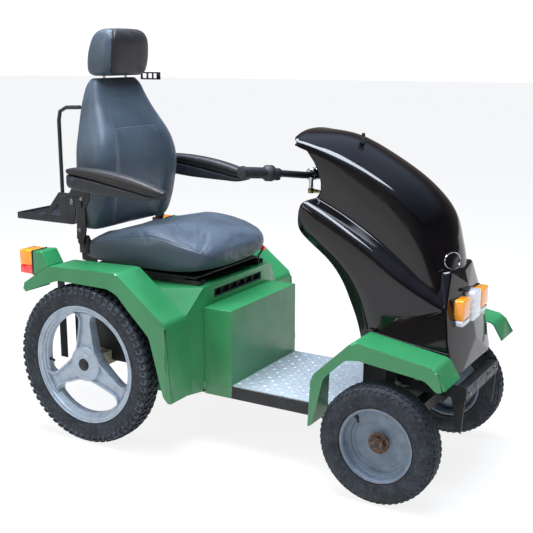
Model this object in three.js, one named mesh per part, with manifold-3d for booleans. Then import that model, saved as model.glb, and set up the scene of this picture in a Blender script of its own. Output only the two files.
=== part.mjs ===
// A four-wheeled mobility scooter for rough ground: green glass-fibre body, black cowl over the
// steering column, large cast rear wheels, small pressed-steel front wheels and a reclining seat.
// Millimetres. +X is forward, +Y is the rider's left, +Z is up. While the pieces are laid out,
// x = 0 is the front face of the battery cover; the finished group is moved so that its origin
// lies on the ground under the middle of the whole machine.
import * as THREE from 'three'
import { mergeVertices } from 'three/addons/utils/BufferGeometryUtils.js'
import { ConvexGeometry } from 'three/addons/geometries/ConvexGeometry.js'
import Module from 'manifold-3d'

const wasm = await Module()
wasm.setup()

// ---- driving dimensions ------------------------------------------------------------------
const GAP = 0.4 // between pieces that touch
const RUNNING_GAP = 1 // between pieces that move past each other
const SHELL = 4 // wall of the glass-fibre and plastic mouldings
const WHEEL_SIDES = 36 // flats round each tyre, one of them flat on the ground

const REAR_TYRE = { radius: 275, width: 75, lip: 204, rimHalf: 29.5 }
const FRONT_TYRE = { radius: 183, width: 90, lip: 115, rimHalf: 35 }
const REAR_TRACK_HALF = 384.5
const FRONT_TRACK_HALF = 306
const REAR_AXLE_X = -463
const FRONT_AXLE_X = 567
const TYRE_SEAT_DEPTH = 8 // how far the bead sits inside the rim lip

const RIM_INNER_RADIUS = 174 // inside of the cast rear rim
const REAR_HUB_RADIUS = 61
const SPOKE_COUNT = 3
const SPOKE_THICKNESS = 26
const REAR_AXLE_RADIUS = 22
const HUB_HALF = 24 // half the length of the rear hub
const AXLE_STUB = 11 // stub between the hub and the axle casing
const HUB_CAP_RADIUS = 21

const FRONT_HUB_RADIUS = 24
const AXLE_BOLT_RADIUS = 10
const AXLE_BOLT_HEAD = 23
const AXLE_WASHER_RADIUS = 31.5
const RIM_SHEET = 3.5

const FLOOR_TOP = 224
const FLOOR_SHEET = 4
const FLOOR_HALF_WIDTH = 218
const FLOOR_EDGE_DEPTH = 45
const FLOOR_FRONT_X = 440
const FLOOR_STEP_X = 338 // where the floor narrows between the front fenders
const FLOOR_TONGUE = { x: 362, halfWidth: 176 } // narrower again to clear the tyres at full lock

const COVER_LENGTH = 106
const COVER_TOP = 477
const COVER_HALF_WIDTH = 218.5
const BODY_HALF_WIDTH = 291 // seat box at the rear, where the fenders start
const BODY_TOP = 543
const BODY_REAR_X = -600
const BODY_BOTTOM = 186 // front part of the seat box
const BODY_REAR_BOTTOM = 345
const VENT_HALF_WIDTH = 153
const VENT_BOTTOM = 495
const VENT_TOP = 525

const REAR_FENDER_OUTER = 415
const FRONT_FENDER_INNER = 206
const FRONT_FENDER_OUTER = 329

const RAIL_HALF_SPACING = 120
const RAIL_WIDTH = 30
const RAIL_BOTTOM = 182
const RAIL_TOP = 214
const RAIL_FRONT_X = 540
const RAIL_REAR_X = -430
const FRONT_BEAM_X = 545 // crossbar between the fenders that carries the cowl and the mast
const FRONT_BEAM_TOP = 425

const KINGPIN_Y = 236
const KINGPIN_RADIUS = 8
const KNUCKLE_RADIUS = 17
const KNUCKLE_HALF_HEIGHT = 30
const STEERING_ARM = 75 // from the kingpin back to the tie rod
const STEERING_ARM_DROP = 22 // below the axle
const TIE_ROD_RADIUS = 8

const COLUMN_TOP = { x: 316, z: 905 }
const COLUMN_TILT = THREE.MathUtils.degToRad(21.6)
const COLUMN_LENGTH = 700
const COLUMN_RADIUS = 16
const BAR_RADIUS = 11
const BAR_CLAMP = { x: 185, z: 912 }
const GRIP_RADIUS = 17

const SEAT_RAIL_HALF_SPACING = 190
const SEAT_SLIDE_TRAVEL = 60
const SEAT_RAIL = { rear: -560, front: -130, bottom: 545, height: 14, width: 36 }
const SEAT_HALF_WIDTH = 240
const BACK_PIVOT = { x: -612, z: 650 }
const ARM_PIVOT = { x: -585, z: 868 }
const HINGE_PLATE_Y = 206 // inner face of the seat pan's hinge plates
const BRACKET_Y = 224 // inner face of the reclining frame's side plates
const ARM_Y = 272
const ARM_WIDTH = 54
const HEADREST_POST_HALF_SPACING = 60
const HEADREST_POST_RADIUS = 5
const HEADREST_BOTTOM = 1223
const POST_X = -622

const GUARD_HALF_WIDTH = 156
const COWL_HALF_WIDTH = 200
const NOSE_BOTTOM = 374

// ---- shape helpers -----------------------------------------------------------------------
const v2 = (x, y) => new THREE.Vector2(x, y)
const v3 = (x, y, z) => new THREE.Vector3(x, y, z)

/** Turn a closed geometry into a solid that can be joined and cut, faces pointing outward. */
function solid(geometry) {
  geometry.deleteAttribute('normal')
  geometry.deleteAttribute('uv')
  const merged = mergeVertices(geometry, 1e-3)
  const points = merged.attributes.position.array
  const index = Uint32Array.from(merged.index.array)
  if (volume(points, index) < 0) {
    for (let i = 0; i < index.length; i += 3) {
      const first = index[i]
      index[i] = index[i + 1]
      index[i + 1] = first
    }
  }
  return new wasm.Manifold(new wasm.Mesh({ numProp: 3, vertProperties: points, triVerts: index }))
}

/** Signed volume of a triangle mesh. */
function volume(points, index) {
  const corner = (i) => new THREE.Vector3().fromArray(points, 3 * index[i])
  let total = 0
  for (let i = 0; i < index.length; i += 3) {
    total += corner(i).dot(corner(i + 1).cross(corner(i + 2))) / 6
  }
  return total
}

const join = (...solids) => solids.reduce((whole, piece) => whole.add(piece))

/** Box between two opposite corners, given in any order. */
function box(x0, x1, y0, y1, z0, z1) {
  const geometry = new THREE.BoxGeometry(Math.abs(x1 - x0), Math.abs(y1 - y0), Math.abs(z1 - z0))
  return solid(geometry.translate((x0 + x1) / 2, (y0 + y1) / 2, (z0 + z1) / 2))
}

/** Outline in the side view (x, z), given thickness across the machine from y0 to y1. */
function sidePlate(outline, y0, y1) {
  const shape = new THREE.Shape(outline.map(([x, z]) => v2(x, z)))
  const depth = Math.abs(y1 - y0)
  const geometry = new THREE.ExtrudeGeometry(shape, { depth, bevelEnabled: false })
  return solid(geometry.rotateX(Math.PI / 2).translate(0, Math.max(y0, y1), 0))
}

/** Cylinder from one point to another. */
function rod(from, to, radius, sides = 16) {
  const along = to.clone().sub(from)
  const geometry = new THREE.CylinderGeometry(radius, radius, along.length(), sides)
  const turn = new THREE.Quaternion().setFromUnitVectors(v3(0, 1, 0), along.clone().normalize())
  geometry.applyQuaternion(turn)
  const middle = from.clone().add(to).multiplyScalar(0.5)
  return solid(geometry.translate(middle.x, middle.y, middle.z))
}

/** Round bar along straight runs joined by smooth bends. */
function bentRod(points, bend, radius, sides = 10) {
  const path = new THREE.CurvePath()
  let start = points[0]
  for (let i = 1; i < points.length - 1; i += 1) {
    const before = points[i].clone().add(points[i - 1].clone().sub(points[i]).setLength(bend))
    const after = points[i].clone().add(points[i + 1].clone().sub(points[i]).setLength(bend))
    path.add(new THREE.LineCurve3(start, before))
    path.add(new THREE.QuadraticBezierCurve3(before, points[i], after))
    start = after
  }
  path.add(new THREE.LineCurve3(start, points[points.length - 1]))
  const section = new THREE.Shape()
  for (let i = 0; i < sides; i += 1) {
    const angle = (2 * Math.PI * i) / sides
    const corner = [radius * Math.cos(angle), radius * Math.sin(angle)]
    if (i === 0) section.moveTo(...corner)
    else section.lineTo(...corner)
  }
  const steps = 7 * (points.length - 1)
  return solid(new THREE.ExtrudeGeometry(section, { steps, extrudePath: path, bevelEnabled: false }))
}

/** Profile of (radius, y) points turned about the Y axis; closed when it leaves the axis. */
function turned(profile, sides, x, y, z) {
  const points = profile.map(([radius, along]) => v2(radius, along))
  if (profile[0][0] > 0) points.push(points[0].clone())
  const geometry = new THREE.LatheGeometry(points, sides)
  geometry.rotateY(Math.PI / sides)
  return solid(geometry.translate(x, y, z))
}

/** Skin through closed rings of points, with a flat cap on the first and the last ring. */
function loft(rings) {
  const count = rings[0].length
  const positions = []
  const index = []
  rings.flat().forEach((point) => positions.push(point.x, point.y, point.z))
  for (let ring = 0; ring < rings.length - 1; ring += 1) {
    for (let i = 0; i < count; i += 1) {
      const a = ring * count + i
      const b = ring * count + ((i + 1) % count)
      index.push(a, b, a + count, b, b + count, a + count)
    }
  }
  for (const [ring, flip] of [[0, true], [rings.length - 1, false]]) {
    const middle = rings[ring].reduce((sum, p) => sum.add(p), v3(0, 0, 0)).divideScalar(count)
    const centre = positions.length / 3
    positions.push(middle.x, middle.y, middle.z)
    for (let i = 0; i < count; i += 1) {
      const a = ring * count + i
      const b = ring * count + ((i + 1) % count)
      if (flip) index.push(centre, b, a)
      else index.push(centre, a, b)
    }
  }
  const geometry = new THREE.BufferGeometry()
  geometry.setAttribute('position', new THREE.Float32BufferAttribute(positions, 3))
  geometry.setIndex(index)
  return solid(geometry)
}

/** Ring of a rounded rectangle; `across` and `up` are its half-axes as vectors. */
function cushionRing(centre, across, up, roundness = 3, count = 20) {
  return Array.from({ length: count }, (_, i) => {
    const angle = (2 * Math.PI * (i + 0.5)) / count
    const wide = Math.sign(Math.cos(angle)) * Math.abs(Math.cos(angle)) ** (2 / roundness)
    const tall = Math.sign(Math.sin(angle)) * Math.abs(Math.sin(angle)) ** (2 / roundness)
    return centre.clone().addScaledVector(across, wide).addScaledVector(up, tall)
  })
}

const hull = (points) => solid(new ConvexGeometry(points))

/** The same line moved sideways by a distance, to the left of its direction, with square mitres. */
function offsetLine(line, distance) {
  const normal = (a, b) => v2(a[1] - b[1], b[0] - a[0]).normalize()
  return line.map((point, i) => {
    const before = i > 0 ? normal(line[i - 1], point) : normal(point, line[i + 1])
    const after = i < line.length - 1 ? normal(point, line[i + 1]) : before
    const mean = before.clone().add(after).normalize()
    const reach = distance / mean.dot(before)
    return [point[0] + mean.x * reach, point[1] + mean.y * reach]
  })
}

/** Sheet that follows a side-view line, `thickness` deep on its right-hand side. */
function bentSheet(line, thickness, y0, y1) {
  return sidePlate([...line, ...offsetLine(line, -thickness).reverse()], y0, y1)
}

/** Height of an axle whose tyre rests on one of its flats. */
const axleHeight = (tyre) => tyre.radius * Math.cos(Math.PI / WHEEL_SIDES)
const REAR_AXLE_Z = axleHeight(REAR_TYRE)
const FRONT_AXLE_Z = axleHeight(FRONT_TYRE)

// ---- materials ---------------------------------------------------------------------------
const finish = (color, roughness, metalness = 0) => ({ color, roughness, metalness })
const GREEN = finish('#3b9463', 0.35)
const GLOSS_BLACK = finish('#1b1c20', 0.12)
const SATIN_BLACK = finish('#1d1e21', 0.55)
const FRAME_STEEL = finish('#202226', 0.5, 0.6)
const CREAM_PAINT = finish('#b9b199', 0.5)
const TYRE_RUBBER = finish('#2f343b', 0.9)
const CAST_SILVER = finish('#8697a8', 0.45, 0.5)
const WHEEL_PAINT = finish('#7c8a98', 0.5, 0.3)
const CHEQUER = finish('#b2c3cb', 0.4, 0.9)
const BARE_STEEL = finish('#9a9fa5', 0.35, 0.9)
const CHROME = finish('#c9ced3', 0.12, 1)
const BRASS = finish('#a39a72', 0.35, 0.9)
const VINYL = finish('#4b5966', 0.5)
const ARM_PLASTIC = finish('#353a41', 0.5)
const AMBER = finish('#ff9c10', 0.15)
const CLEAR_LENS = finish('#d6dde2', 0.15)
const RED_KNOB = finish('#d8262c', 0.3)

const group = new THREE.Group()

/** Put a finished solid into the scooter as a named mesh. */
function add(name, body, look) {
  const { vertProperties, triVerts } = body.getMesh()
  const geometry = new THREE.BufferGeometry()
  geometry.setAttribute('position', new THREE.BufferAttribute(vertProperties, 3))
  geometry.setIndex(new THREE.BufferAttribute(triVerts, 1))
  geometry.computeVertexNormals()
  const mesh = new THREE.Mesh(geometry, new THREE.MeshStandardMaterial(look))
  mesh.name = name
  group.add(mesh)
}

// ---- wheels ------------------------------------------------------------------------------
/** Half outline of a tyre section from bead to crown, mirrored to both sides. */
function tyreProfile({ radius, width, lip, rimHalf }) {
  const half = width / 2
  const wall = radius - lip
  const bead = rimHalf - RIM_SHEET - GAP
  const side = [
    [lip - TYRE_SEAT_DEPTH + GAP, bead],
    [lip + 2, bead],
    [lip + 0.25 * wall, 0.94 * half],
    [lip + 0.58 * wall, half],
    [radius - 0.14 * wall, 0.84 * half],
    [radius, 0.5 * half],
  ]
  return [...side, ...side.map(([r, y]) => [r, -y]).reverse()]
}

/** Barrel with a lip at each side that holds the tyre bead. */
function rimBarrel({ lip, rimHalf }, inner) {
  const seat = lip - TYRE_SEAT_DEPTH
  const flange = rimHalf - RIM_SHEET
  return [
    [inner, rimHalf],
    [lip, rimHalf],
    [lip, flange],
    [seat, flange],
    [seat, -flange],
    [lip, -flange],
    [lip, -rimHalf],
    [inner, -rimHalf],
  ]
}

/** Cast wheel: barrel, hub with its short axle stub and dust cap, and three spokes. */
function rearRim(y, side) {
  const barrel = turned(rimBarrel(REAR_TYRE, RIM_INNER_RADIUS), WHEEL_SIDES, 0, 0, 0)
  const hubProfile = [
    [0, -HUB_HALF - AXLE_STUB],
    [REAR_AXLE_RADIUS, -HUB_HALF - AXLE_STUB],
    [REAR_AXLE_RADIUS, -HUB_HALF],
    [REAR_HUB_RADIUS, -HUB_HALF],
    [REAR_HUB_RADIUS, HUB_HALF - 6],
    [REAR_HUB_RADIUS - 6, HUB_HALF],
    [HUB_CAP_RADIUS, HUB_HALF],
    [HUB_CAP_RADIUS, HUB_HALF + 8],
    [0, HUB_HALF + 8],
  ]
  const hub = turned(hubProfile.map(([r, along]) => [r, side * along]), 24, 0, 0, 0)
  const inside = REAR_HUB_RADIUS - 8
  const outside = RIM_INNER_RADIUS + 4
  const spokeOutline = [
    [-36, inside],
    [-19, 95],
    [-17, 125],
    [-24, 158],
    [-36, outside],
    [36, outside],
    [24, 158],
    [17, 125],
    [19, 95],
    [36, inside],
  ]
  const spoke = sidePlate(spokeOutline, -SPOKE_THICKNESS / 2, SPOKE_THICKNESS / 2)
  const turn = (i) => spoke.rotate([0, (360 * i) / SPOKE_COUNT, 0])
  const spokes = Array.from({ length: SPOKE_COUNT }, (_, i) => turn(i))
  return join(barrel, hub, ...spokes).translate([REAR_AXLE_X, y, REAR_AXLE_Z])
}

/** Pressed disc: a barrel, and a dished plate stepping down to the hub tube. */
function frontRim(y, side) {
  const barrelInner = FRONT_TYRE.lip - TYRE_SEAT_DEPTH - RIM_SHEET
  const barrel = turned(rimBarrel(FRONT_TYRE, barrelInner), WHEEL_SIDES, 0, 0, 0)
  const face = [
    [FRONT_TYRE.lip - TYRE_SEAT_DEPTH - 1, 10],
    [100, 10],
    [97, 4],
    [90, 3],
    [86, -4],
    [78, -6],
    [FRONT_HUB_RADIUS - 2, -6],
  ]
  const back = face.map(([r, along]) => [r, along - RIM_SHEET]).reverse()
  const disc = turned([...face, ...back].map(([r, along]) => [r, side * along]), 24, 0, 0, 0)
  const hubProfile = [
    [AXLE_BOLT_RADIUS + RUNNING_GAP, 4],
    [FRONT_HUB_RADIUS, 4],
    [FRONT_HUB_RADIUS, -34],
    [AXLE_BOLT_RADIUS + RUNNING_GAP, -34],
  ]
  const hub = turned(hubProfile.map(([r, along]) => [r, side * along]), 20, 0, 0, 0)
  return join(barrel, disc, hub).translate([FRONT_AXLE_X, y, FRONT_AXLE_Z])
}

for (const [place, side] of [['right', -1], ['left', 1]]) {
  const rearY = side * REAR_TRACK_HALF
  const frontY = side * FRONT_TRACK_HALF
  const rearTyre = turned(tyreProfile(REAR_TYRE), WHEEL_SIDES, REAR_AXLE_X, rearY, REAR_AXLE_Z)
  const frontTyre = turned(tyreProfile(FRONT_TYRE), WHEEL_SIDES, FRONT_AXLE_X, frontY, FRONT_AXLE_Z)
  add(`rear_tyre_${place}`, rearTyre, TYRE_RUBBER)
  add(`rear_rim_${place}`, rearRim(rearY, side), CAST_SILVER)
  add(`front_tyre_${place}`, frontTyre, TYRE_RUBBER)
  add(`front_rim_${place}`, frontRim(frontY, side), WHEEL_PAINT)
}

// ---- frame, axles and drive --------------------------------------------------------------
function chassisFrame() {
  const seatTop = BODY_TOP - SHELL - GAP
  const rails = [-1, 1].map((side) => {
    const inner = side * (RAIL_HALF_SPACING - RAIL_WIDTH / 2)
    const outer = side * (RAIL_HALF_SPACING + RAIL_WIDTH / 2)
    const long = box(RAIL_REAR_X, RAIL_FRONT_X, inner, outer, RAIL_BOTTOM, RAIL_TOP)
    const upright = box(RAIL_FRONT_X - 30, RAIL_FRONT_X, inner, outer, RAIL_TOP - 5, FRONT_BEAM_TOP)
    const bracket = box(RAIL_FRONT_X - 5, FRONT_BEAM_X + 5, inner, outer, FRONT_BEAM_TOP - 30, FRONT_BEAM_TOP)
    const riser = box(RAIL_REAR_X, RAIL_REAR_X + 30, inner, outer, RAIL_TOP - 5, seatTop)
    return join(long, upright, bracket, riser)
  })
  const reach = RAIL_HALF_SPACING
  const cross = [-400, -200, 60, 400].map((x) => box(x, x + 30, -reach, reach, RAIL_BOTTOM, RAIL_TOP))
  const seatBeam = box(RAIL_REAR_X, RAIL_REAR_X + 30, -200, 200, seatTop - 30, seatTop)
  const frontBeam = box(FRONT_BEAM_X, FRONT_BEAM_X + 25, -180, 180, FRONT_BEAM_TOP - 30, FRONT_BEAM_TOP)
  return join(...rails, ...cross, seatBeam, frontBeam)
}
add('chassis_frame', chassisFrame(), FRAME_STEEL)

/** Cream-painted axle casing across the machine with the gearbox in its middle. */
function rearAxleCasing() {
  const end = REAR_TRACK_HALF - HUB_HALF - AXLE_STUB - RUNNING_GAP
  const tube = box(REAR_AXLE_X - 24, REAR_AXLE_X + 24, -end, end, REAR_AXLE_Z - 24, REAR_AXLE_Z + 24)
  const gearbox = rod(v3(REAR_AXLE_X, -58, REAR_AXLE_Z), v3(REAR_AXLE_X, 58, REAR_AXLE_Z), 66, 24)
  const arms = [-1, 1].map((side) => {
    const y = side * RAIL_HALF_SPACING
    return box(REAR_AXLE_X + 20, RAIL_REAR_X - GAP, y - 12, y + 12, REAR_AXLE_Z - 24, REAR_AXLE_Z + 24)
  })
  return join(tube, gearbox, ...arms)
}
add('rear_axle_casing', rearAxleCasing(), CREAM_PAINT)

const MOTOR_FOOT = REAR_AXLE_Z + 66 + GAP
add('drive_motor', rod(v3(REAR_AXLE_X, 0, MOTOR_FOOT), v3(REAR_AXLE_X, 0, 500), 52, 24), SATIN_BLACK)

function frontAxleBeam() {
  const end = KINGPIN_Y - KNUCKLE_RADIUS - 6
  const low = FRONT_AXLE_Z - 20
  const high = FRONT_AXLE_Z + 20
  const beam = box(FRONT_AXLE_X - 20, FRONT_AXLE_X + 20, -end, end, low, high)
  const lugGap = KNUCKLE_HALF_HEIGHT + RUNNING_GAP
  const forks = [-1, 1].flatMap((side) => {
    const y = side * KINGPIN_Y
    const lug = (z) => rod(v3(FRONT_AXLE_X, y, z), v3(FRONT_AXLE_X, y, z + 10), KNUCKLE_RADIUS, 12)
    const web = box(FRONT_AXLE_X - 14, FRONT_AXLE_X + 14, side * (end - 20), side * end,
      FRONT_AXLE_Z - lugGap - 10, FRONT_AXLE_Z + lugGap + 10)
    const arm = (z) => box(FRONT_AXLE_X - 14, FRONT_AXLE_X + 14, side * (end - 5), y, z, z + 10)
    const top = FRONT_AXLE_Z + lugGap
    const bottom = FRONT_AXLE_Z - lugGap - 10
    const pin = rod(v3(FRONT_AXLE_X, y, bottom), v3(FRONT_AXLE_X, y, top + 10), KINGPIN_RADIUS, 12)
    return [web, lug(top), lug(bottom), arm(top), arm(bottom), pin]
  })
  const feet = [-1, 1].map((side) => {
    const y = side * RAIL_HALF_SPACING
    return box(RAIL_FRONT_X + GAP, FRONT_AXLE_X - 15, y - 14, y + 14, low, high + 60)
  })
  return join(beam, ...forks, ...feet)
}
add('front_axle_beam', frontAxleBeam(), FRAME_STEEL)

/** Steering knuckle: kingpin barrel, steering arm, and the stub axle with its washer and nut. */
function knuckle(side) {
  const y = side * KINGPIN_Y
  const at = (along) => v3(FRONT_AXLE_X, side * along, FRONT_AXLE_Z)
  const barrelFrom = v3(FRONT_AXLE_X, y, FRONT_AXLE_Z - KNUCKLE_HALF_HEIGHT)
  const barrelTo = v3(FRONT_AXLE_X, y, FRONT_AXLE_Z + KNUCKLE_HALF_HEIGHT)
  const barrel = rod(barrelFrom, barrelTo, KNUCKLE_RADIUS, 16)
  const boss = rod(at(KINGPIN_Y), at(FRONT_TRACK_HALF - 34 - RUNNING_GAP), 20, 16)
  const armZ = FRONT_AXLE_Z - STEERING_ARM_DROP
  const armEnd = FRONT_AXLE_X - STEERING_ARM - 10
  const arm = box(armEnd, FRONT_AXLE_X - 8, y - side * 8, y + side * 8, armZ - 6, armZ + 6)
  const boreFrom = v3(FRONT_AXLE_X, y, FRONT_AXLE_Z - 60)
  const boreTo = v3(FRONT_AXLE_X, y, FRONT_AXLE_Z + 60)
  const bore = rod(boreFrom, boreTo, KINGPIN_RADIUS + RUNNING_GAP, 16)
  const shank = rod(at(KINGPIN_Y + 14), at(FRONT_TRACK_HALF + 24), AXLE_BOLT_RADIUS, 16)
  const washer = rod(at(FRONT_TRACK_HALF + 4 + RUNNING_GAP), at(FRONT_TRACK_HALF + 8), AXLE_WASHER_RADIUS, 20)
  const nut = rod(at(FRONT_TRACK_HALF + 7), at(FRONT_TRACK_HALF + 22), AXLE_BOLT_HEAD, 6)
  return join(barrel, boss, arm).subtract(bore).add(join(shank, washer, nut))
}
add('knuckle_right', knuckle(-1), FRAME_STEEL)
add('knuckle_left', knuckle(1), FRAME_STEEL)

/** Track rod under the steering arms, with a stud at its middle for the column's drop arm. */
function tieRod() {
  const x = FRONT_AXLE_X - STEERING_ARM
  const armBottom = FRONT_AXLE_Z - STEERING_ARM_DROP - 6
  const z = armBottom - TIE_ROD_RADIUS - 6
  const bar = rod(v3(x, -KINGPIN_Y, z), v3(x, KINGPIN_Y, z), TIE_ROD_RADIUS, 12)
  const stud = (y, top) => rod(v3(x, y, z - 8), v3(x, y, top), 9, 12)
  const ends = [-KINGPIN_Y, KINGPIN_Y].map((y) => stud(y, armBottom - RUNNING_GAP))
  return join(bar, ...ends, stud(0, z + 76))
}
add('tie_rod', tieRod(), BARE_STEEL)

// ---- batteries and controller ------------------------------------------------------------
for (const [place, side] of [['right', -1], ['left', 1]]) {
  const outer = side * (RAIL_HALF_SPACING + 66)
  add(`battery_${place}`, box(-350, -30, side * 6, outer, RAIL_TOP + GAP, RAIL_TOP + 200), SATIN_BLACK)
}
add('motor_controller', box(-390, -250, -80, 80, 455, 500), BARE_STEEL)

// ---- body mouldings ----------------------------------------------------------------------
// Outline of the rear fender's upper skin, from the tail under the lamp to the foot of its leg.
const REAR_FENDER_LINE = [
  [-712, 494],
  [-722, 520],
  [-660, 560],
  [-597, 598],
  [-310, 606],
  [-124, 462],
  [-105, 203],
]
const REAR_SKIRT_EDGE = [
  [-132, 216],
  [-184, 412],
  [-267, 492],
  [-308, 535],
  [-348, 551],
  [-555, 553],
  [-600, 538],
]

/** Outside of the seat box; `inset` draws every wall in and `drop` lowers only the top. */
function seatBoxForm(inset, drop) {
  const top = BODY_TOP - drop
  const front = -COVER_LENGTH - inset - (inset ? 0 : GAP)
  const half = FLOOR_HALF_WIDTH - inset
  const wide = BODY_HALF_WIDTH - inset
  const bottom = inset ? BODY_BOTTOM - 20 : BODY_BOTTOM
  const rearBottom = inset ? BODY_REAR_BOTTOM - 20 : BODY_REAR_BOTTOM
  const corners = [-1, 1].flatMap((side) => [
    v3(front, side * half, bottom),
    v3(front, side * half, top),
    v3(-133 - inset, side * wide, bottom),
    v3(-126 - inset, side * wide, 462 - drop),
    v3(-228 - inset, side * wide, top),
    v3(-300, side * wide, bottom),
    v3(-300, side * wide, top),
  ])
  return join(hull(corners), box(BODY_REAR_X + inset, -299, -wide, wide, rearBottom, top))
}

function seatBox() {
  const shell = seatBoxForm(0, 0).subtract(seatBoxForm(SHELL, SHELL))
  const front = -COVER_LENGTH
  const slot = box(front - 12, front + 5, -VENT_HALF_WIDTH, VENT_HALF_WIDTH, VENT_BOTTOM, VENT_TOP)
  const doorHalf = FLOOR_HALF_WIDTH - 14
  const door = box(front - 12, front + 5, -doorHalf, doorHalf, 0, COVER_TOP - 14)
  return shell.subtract(slot).subtract(door)
}
add('seat_box', seatBox(), GREEN)

/** Black louvre that fills the slot above the battery cover. */
function ventInsert() {
  const back = -COVER_LENGTH - SHELL - GAP - 18
  const face = -COVER_LENGTH - 8
  const half = VENT_HALF_WIDTH - GAP
  const low = VENT_BOTTOM + GAP
  const high = VENT_TOP - GAP
  const block = box(back, face + 6, -half, half, low, high)
  const opening = box(back + 6, face + 10, -half + 4, half - 4, low + 4, high - 4)
  const slats = Array.from({ length: 5 }, (_, i) => {
    const y = -half + ((i + 1) * 2 * half) / 6
    return box(back + 2, face + 2, y - 3, y + 3, low + 1, high - 1)
  })
  return join(block.subtract(opening), ...slats)
}
add('vent_insert', ventInsert(), SATIN_BLACK)

/** Space that the floor pieces leave for the two frame rails. */
function railPassage(x0, x1) {
  const reach = RAIL_HALF_SPACING + RAIL_WIDTH / 2 + GAP
  return box(x0, x1, -reach, reach, 0, RAIL_TOP + GAP)
}

function batteryCover() {
  const half = COVER_HALF_WIDTH
  const outer = box(-COVER_LENGTH, 0, -half, half, FLOOR_TOP - FLOOR_EDGE_DEPTH, COVER_TOP)
  const inner = box(-COVER_LENGTH - 5, -SHELL, -half + SHELL, half - SHELL, 100, COVER_TOP - SHELL)
  return outer.subtract(inner).subtract(railPassage(-5, 5))
}
add('battery_cover', batteryCover(), GREEN)

/** Folded fender: skin, outer skirt and, at the rear, the pod that carries the lamp. */
function rearFender(side) {
  const inner = side * (BODY_HALF_WIDTH + GAP)
  const outer = side * REAR_FENDER_OUTER
  const skin = bentSheet(REAR_FENDER_LINE, SHELL, inner, outer)
  const skirt = sidePlate([...REAR_FENDER_LINE, ...REAR_SKIRT_EDGE], outer - side * SHELL, outer)
  const podOutline = [
    [-667, 556],
    [-664, 642],
    [-626, 645],
    [-597, 594],
  ]
  const pod = sidePlate(podOutline, side * (REAR_FENDER_OUTER - 80), outer)
  return join(skin, skirt, pod)
}

for (const [place, side] of [['right', -1], ['left', 1]]) {
  add(`rear_fender_${place}`, rearFender(side), GREEN)
  const inner = side * (REAR_FENDER_OUTER - 76)
  const outer = side * (REAR_FENDER_OUTER - 4)
  add(`rear_lamp_${place}`, box(-729, -667 - GAP, inner, outer, 560, 642), AMBER)
}

/** Chequer plate, narrower where it runs forward between the front fenders. */
function footplate() {
  const low = FLOOR_TOP - FLOOR_SHEET
  const wide = FLOOR_HALF_WIDTH - 4
  const narrow = FRONT_FENDER_INNER - RUNNING_GAP
  const tongue = FLOOR_TONGUE.halfWidth
  return join(
    box(GAP, FLOOR_STEP_X, -wide, wide, low, FLOOR_TOP),
    box(GAP, FLOOR_TONGUE.x, -narrow, narrow, low, FLOOR_TOP),
    box(GAP, FLOOR_FRONT_X, -tongue, tongue, low, FLOOR_TOP),
  )
}
add('footplate', footplate(), CHEQUER)

/** Black channel round the edge of the floor. */
function floorSurround() {
  const half = FLOOR_HALF_WIDTH
  const low = FLOOR_TOP - FLOOR_EDGE_DEPTH
  const high = FLOOR_TOP - FLOOR_SHEET - GAP
  const outer = box(GAP, FLOOR_STEP_X, -half, half, low, high)
  const inner = box(-5, 400, -half + 3, half - 3, 0, high - 3)
  return outer.subtract(inner).subtract(railPassage(-5, 400))
}
add('floor_surround', floorSurround(), SATIN_BLACK)

const FRONT_FENDER_LINE = [
  [343, 195],
  [349, 353],
  [483, 482],
  [735, 441],
  [768, 386],
]
const FRONT_SKIRT_EDGE = [
  [744, 371],
  [706, 403],
  [505, 427],
  [461, 422],
  [391, 355],
  [352, 195],
]

function frontFender(side) {
  const inner = side * FRONT_FENDER_INNER
  const outer = side * FRONT_FENDER_OUTER
  const skin = bentSheet(FRONT_FENDER_LINE, SHELL, inner, outer)
  const skirt = sidePlate([...FRONT_FENDER_LINE, ...FRONT_SKIRT_EDGE], outer - side * SHELL, outer)
  return join(skin, skirt)
}
add('front_fender_right', frontFender(-1), GREEN)
add('front_fender_left', frontFender(1), GREEN)

// ---- cowl --------------------------------------------------------------------------------
// Each station runs from the lower edge of the flank, over a ledge and a waist, up to the upper
// crease and across the crown. Entries are [x, half-width, z] in that order.
const COWL_STATIONS = [
  {
    foot: [230, 196, 806],
    ledge: [243, 198, 848],
    waist: [276, 152, 861],
    crease: [204, 168, 1041],
    crown: [190, 0, 1058],
  },
  {
    foot: [262, 200, 756],
    ledge: [338, 200, 805],
    waist: [366, 150, 815],
    crease: [315, 162, 998],
    crown: [320, 0, 1045],
  },
  {
    foot: [356, 200, 667],
    ledge: [448, 200, 737],
    waist: [472, 150, 751],
    crease: [430, 152, 947],
    crown: [454, 0, 981],
  },
  {
    foot: [398, 200, 610],
    ledge: [552, 196, 661],
    waist: [551, 150, 692],
    crease: [535, 146, 880],
    crown: [575, 0, 906],
  },
  {
    foot: [432, 198, 540],
    ledge: [600, 188, 622],
    waist: [605, 148, 646],
    crease: [605, 136, 806],
    crown: [657, 0, 823],
  },
  {
    foot: [450, 196, 470],
    ledge: [660, 170, 585],
    waist: [648, 144, 618],
    crease: [640, 120, 735],
    crown: [690, 0, 708],
  },
  {
    foot: [728, 188, 466],
    ledge: [712, 150, 560],
    waist: [690, 132, 598],
    crease: [676, 108, 640],
    crown: [706, 0, 650],
  },
]

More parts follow.
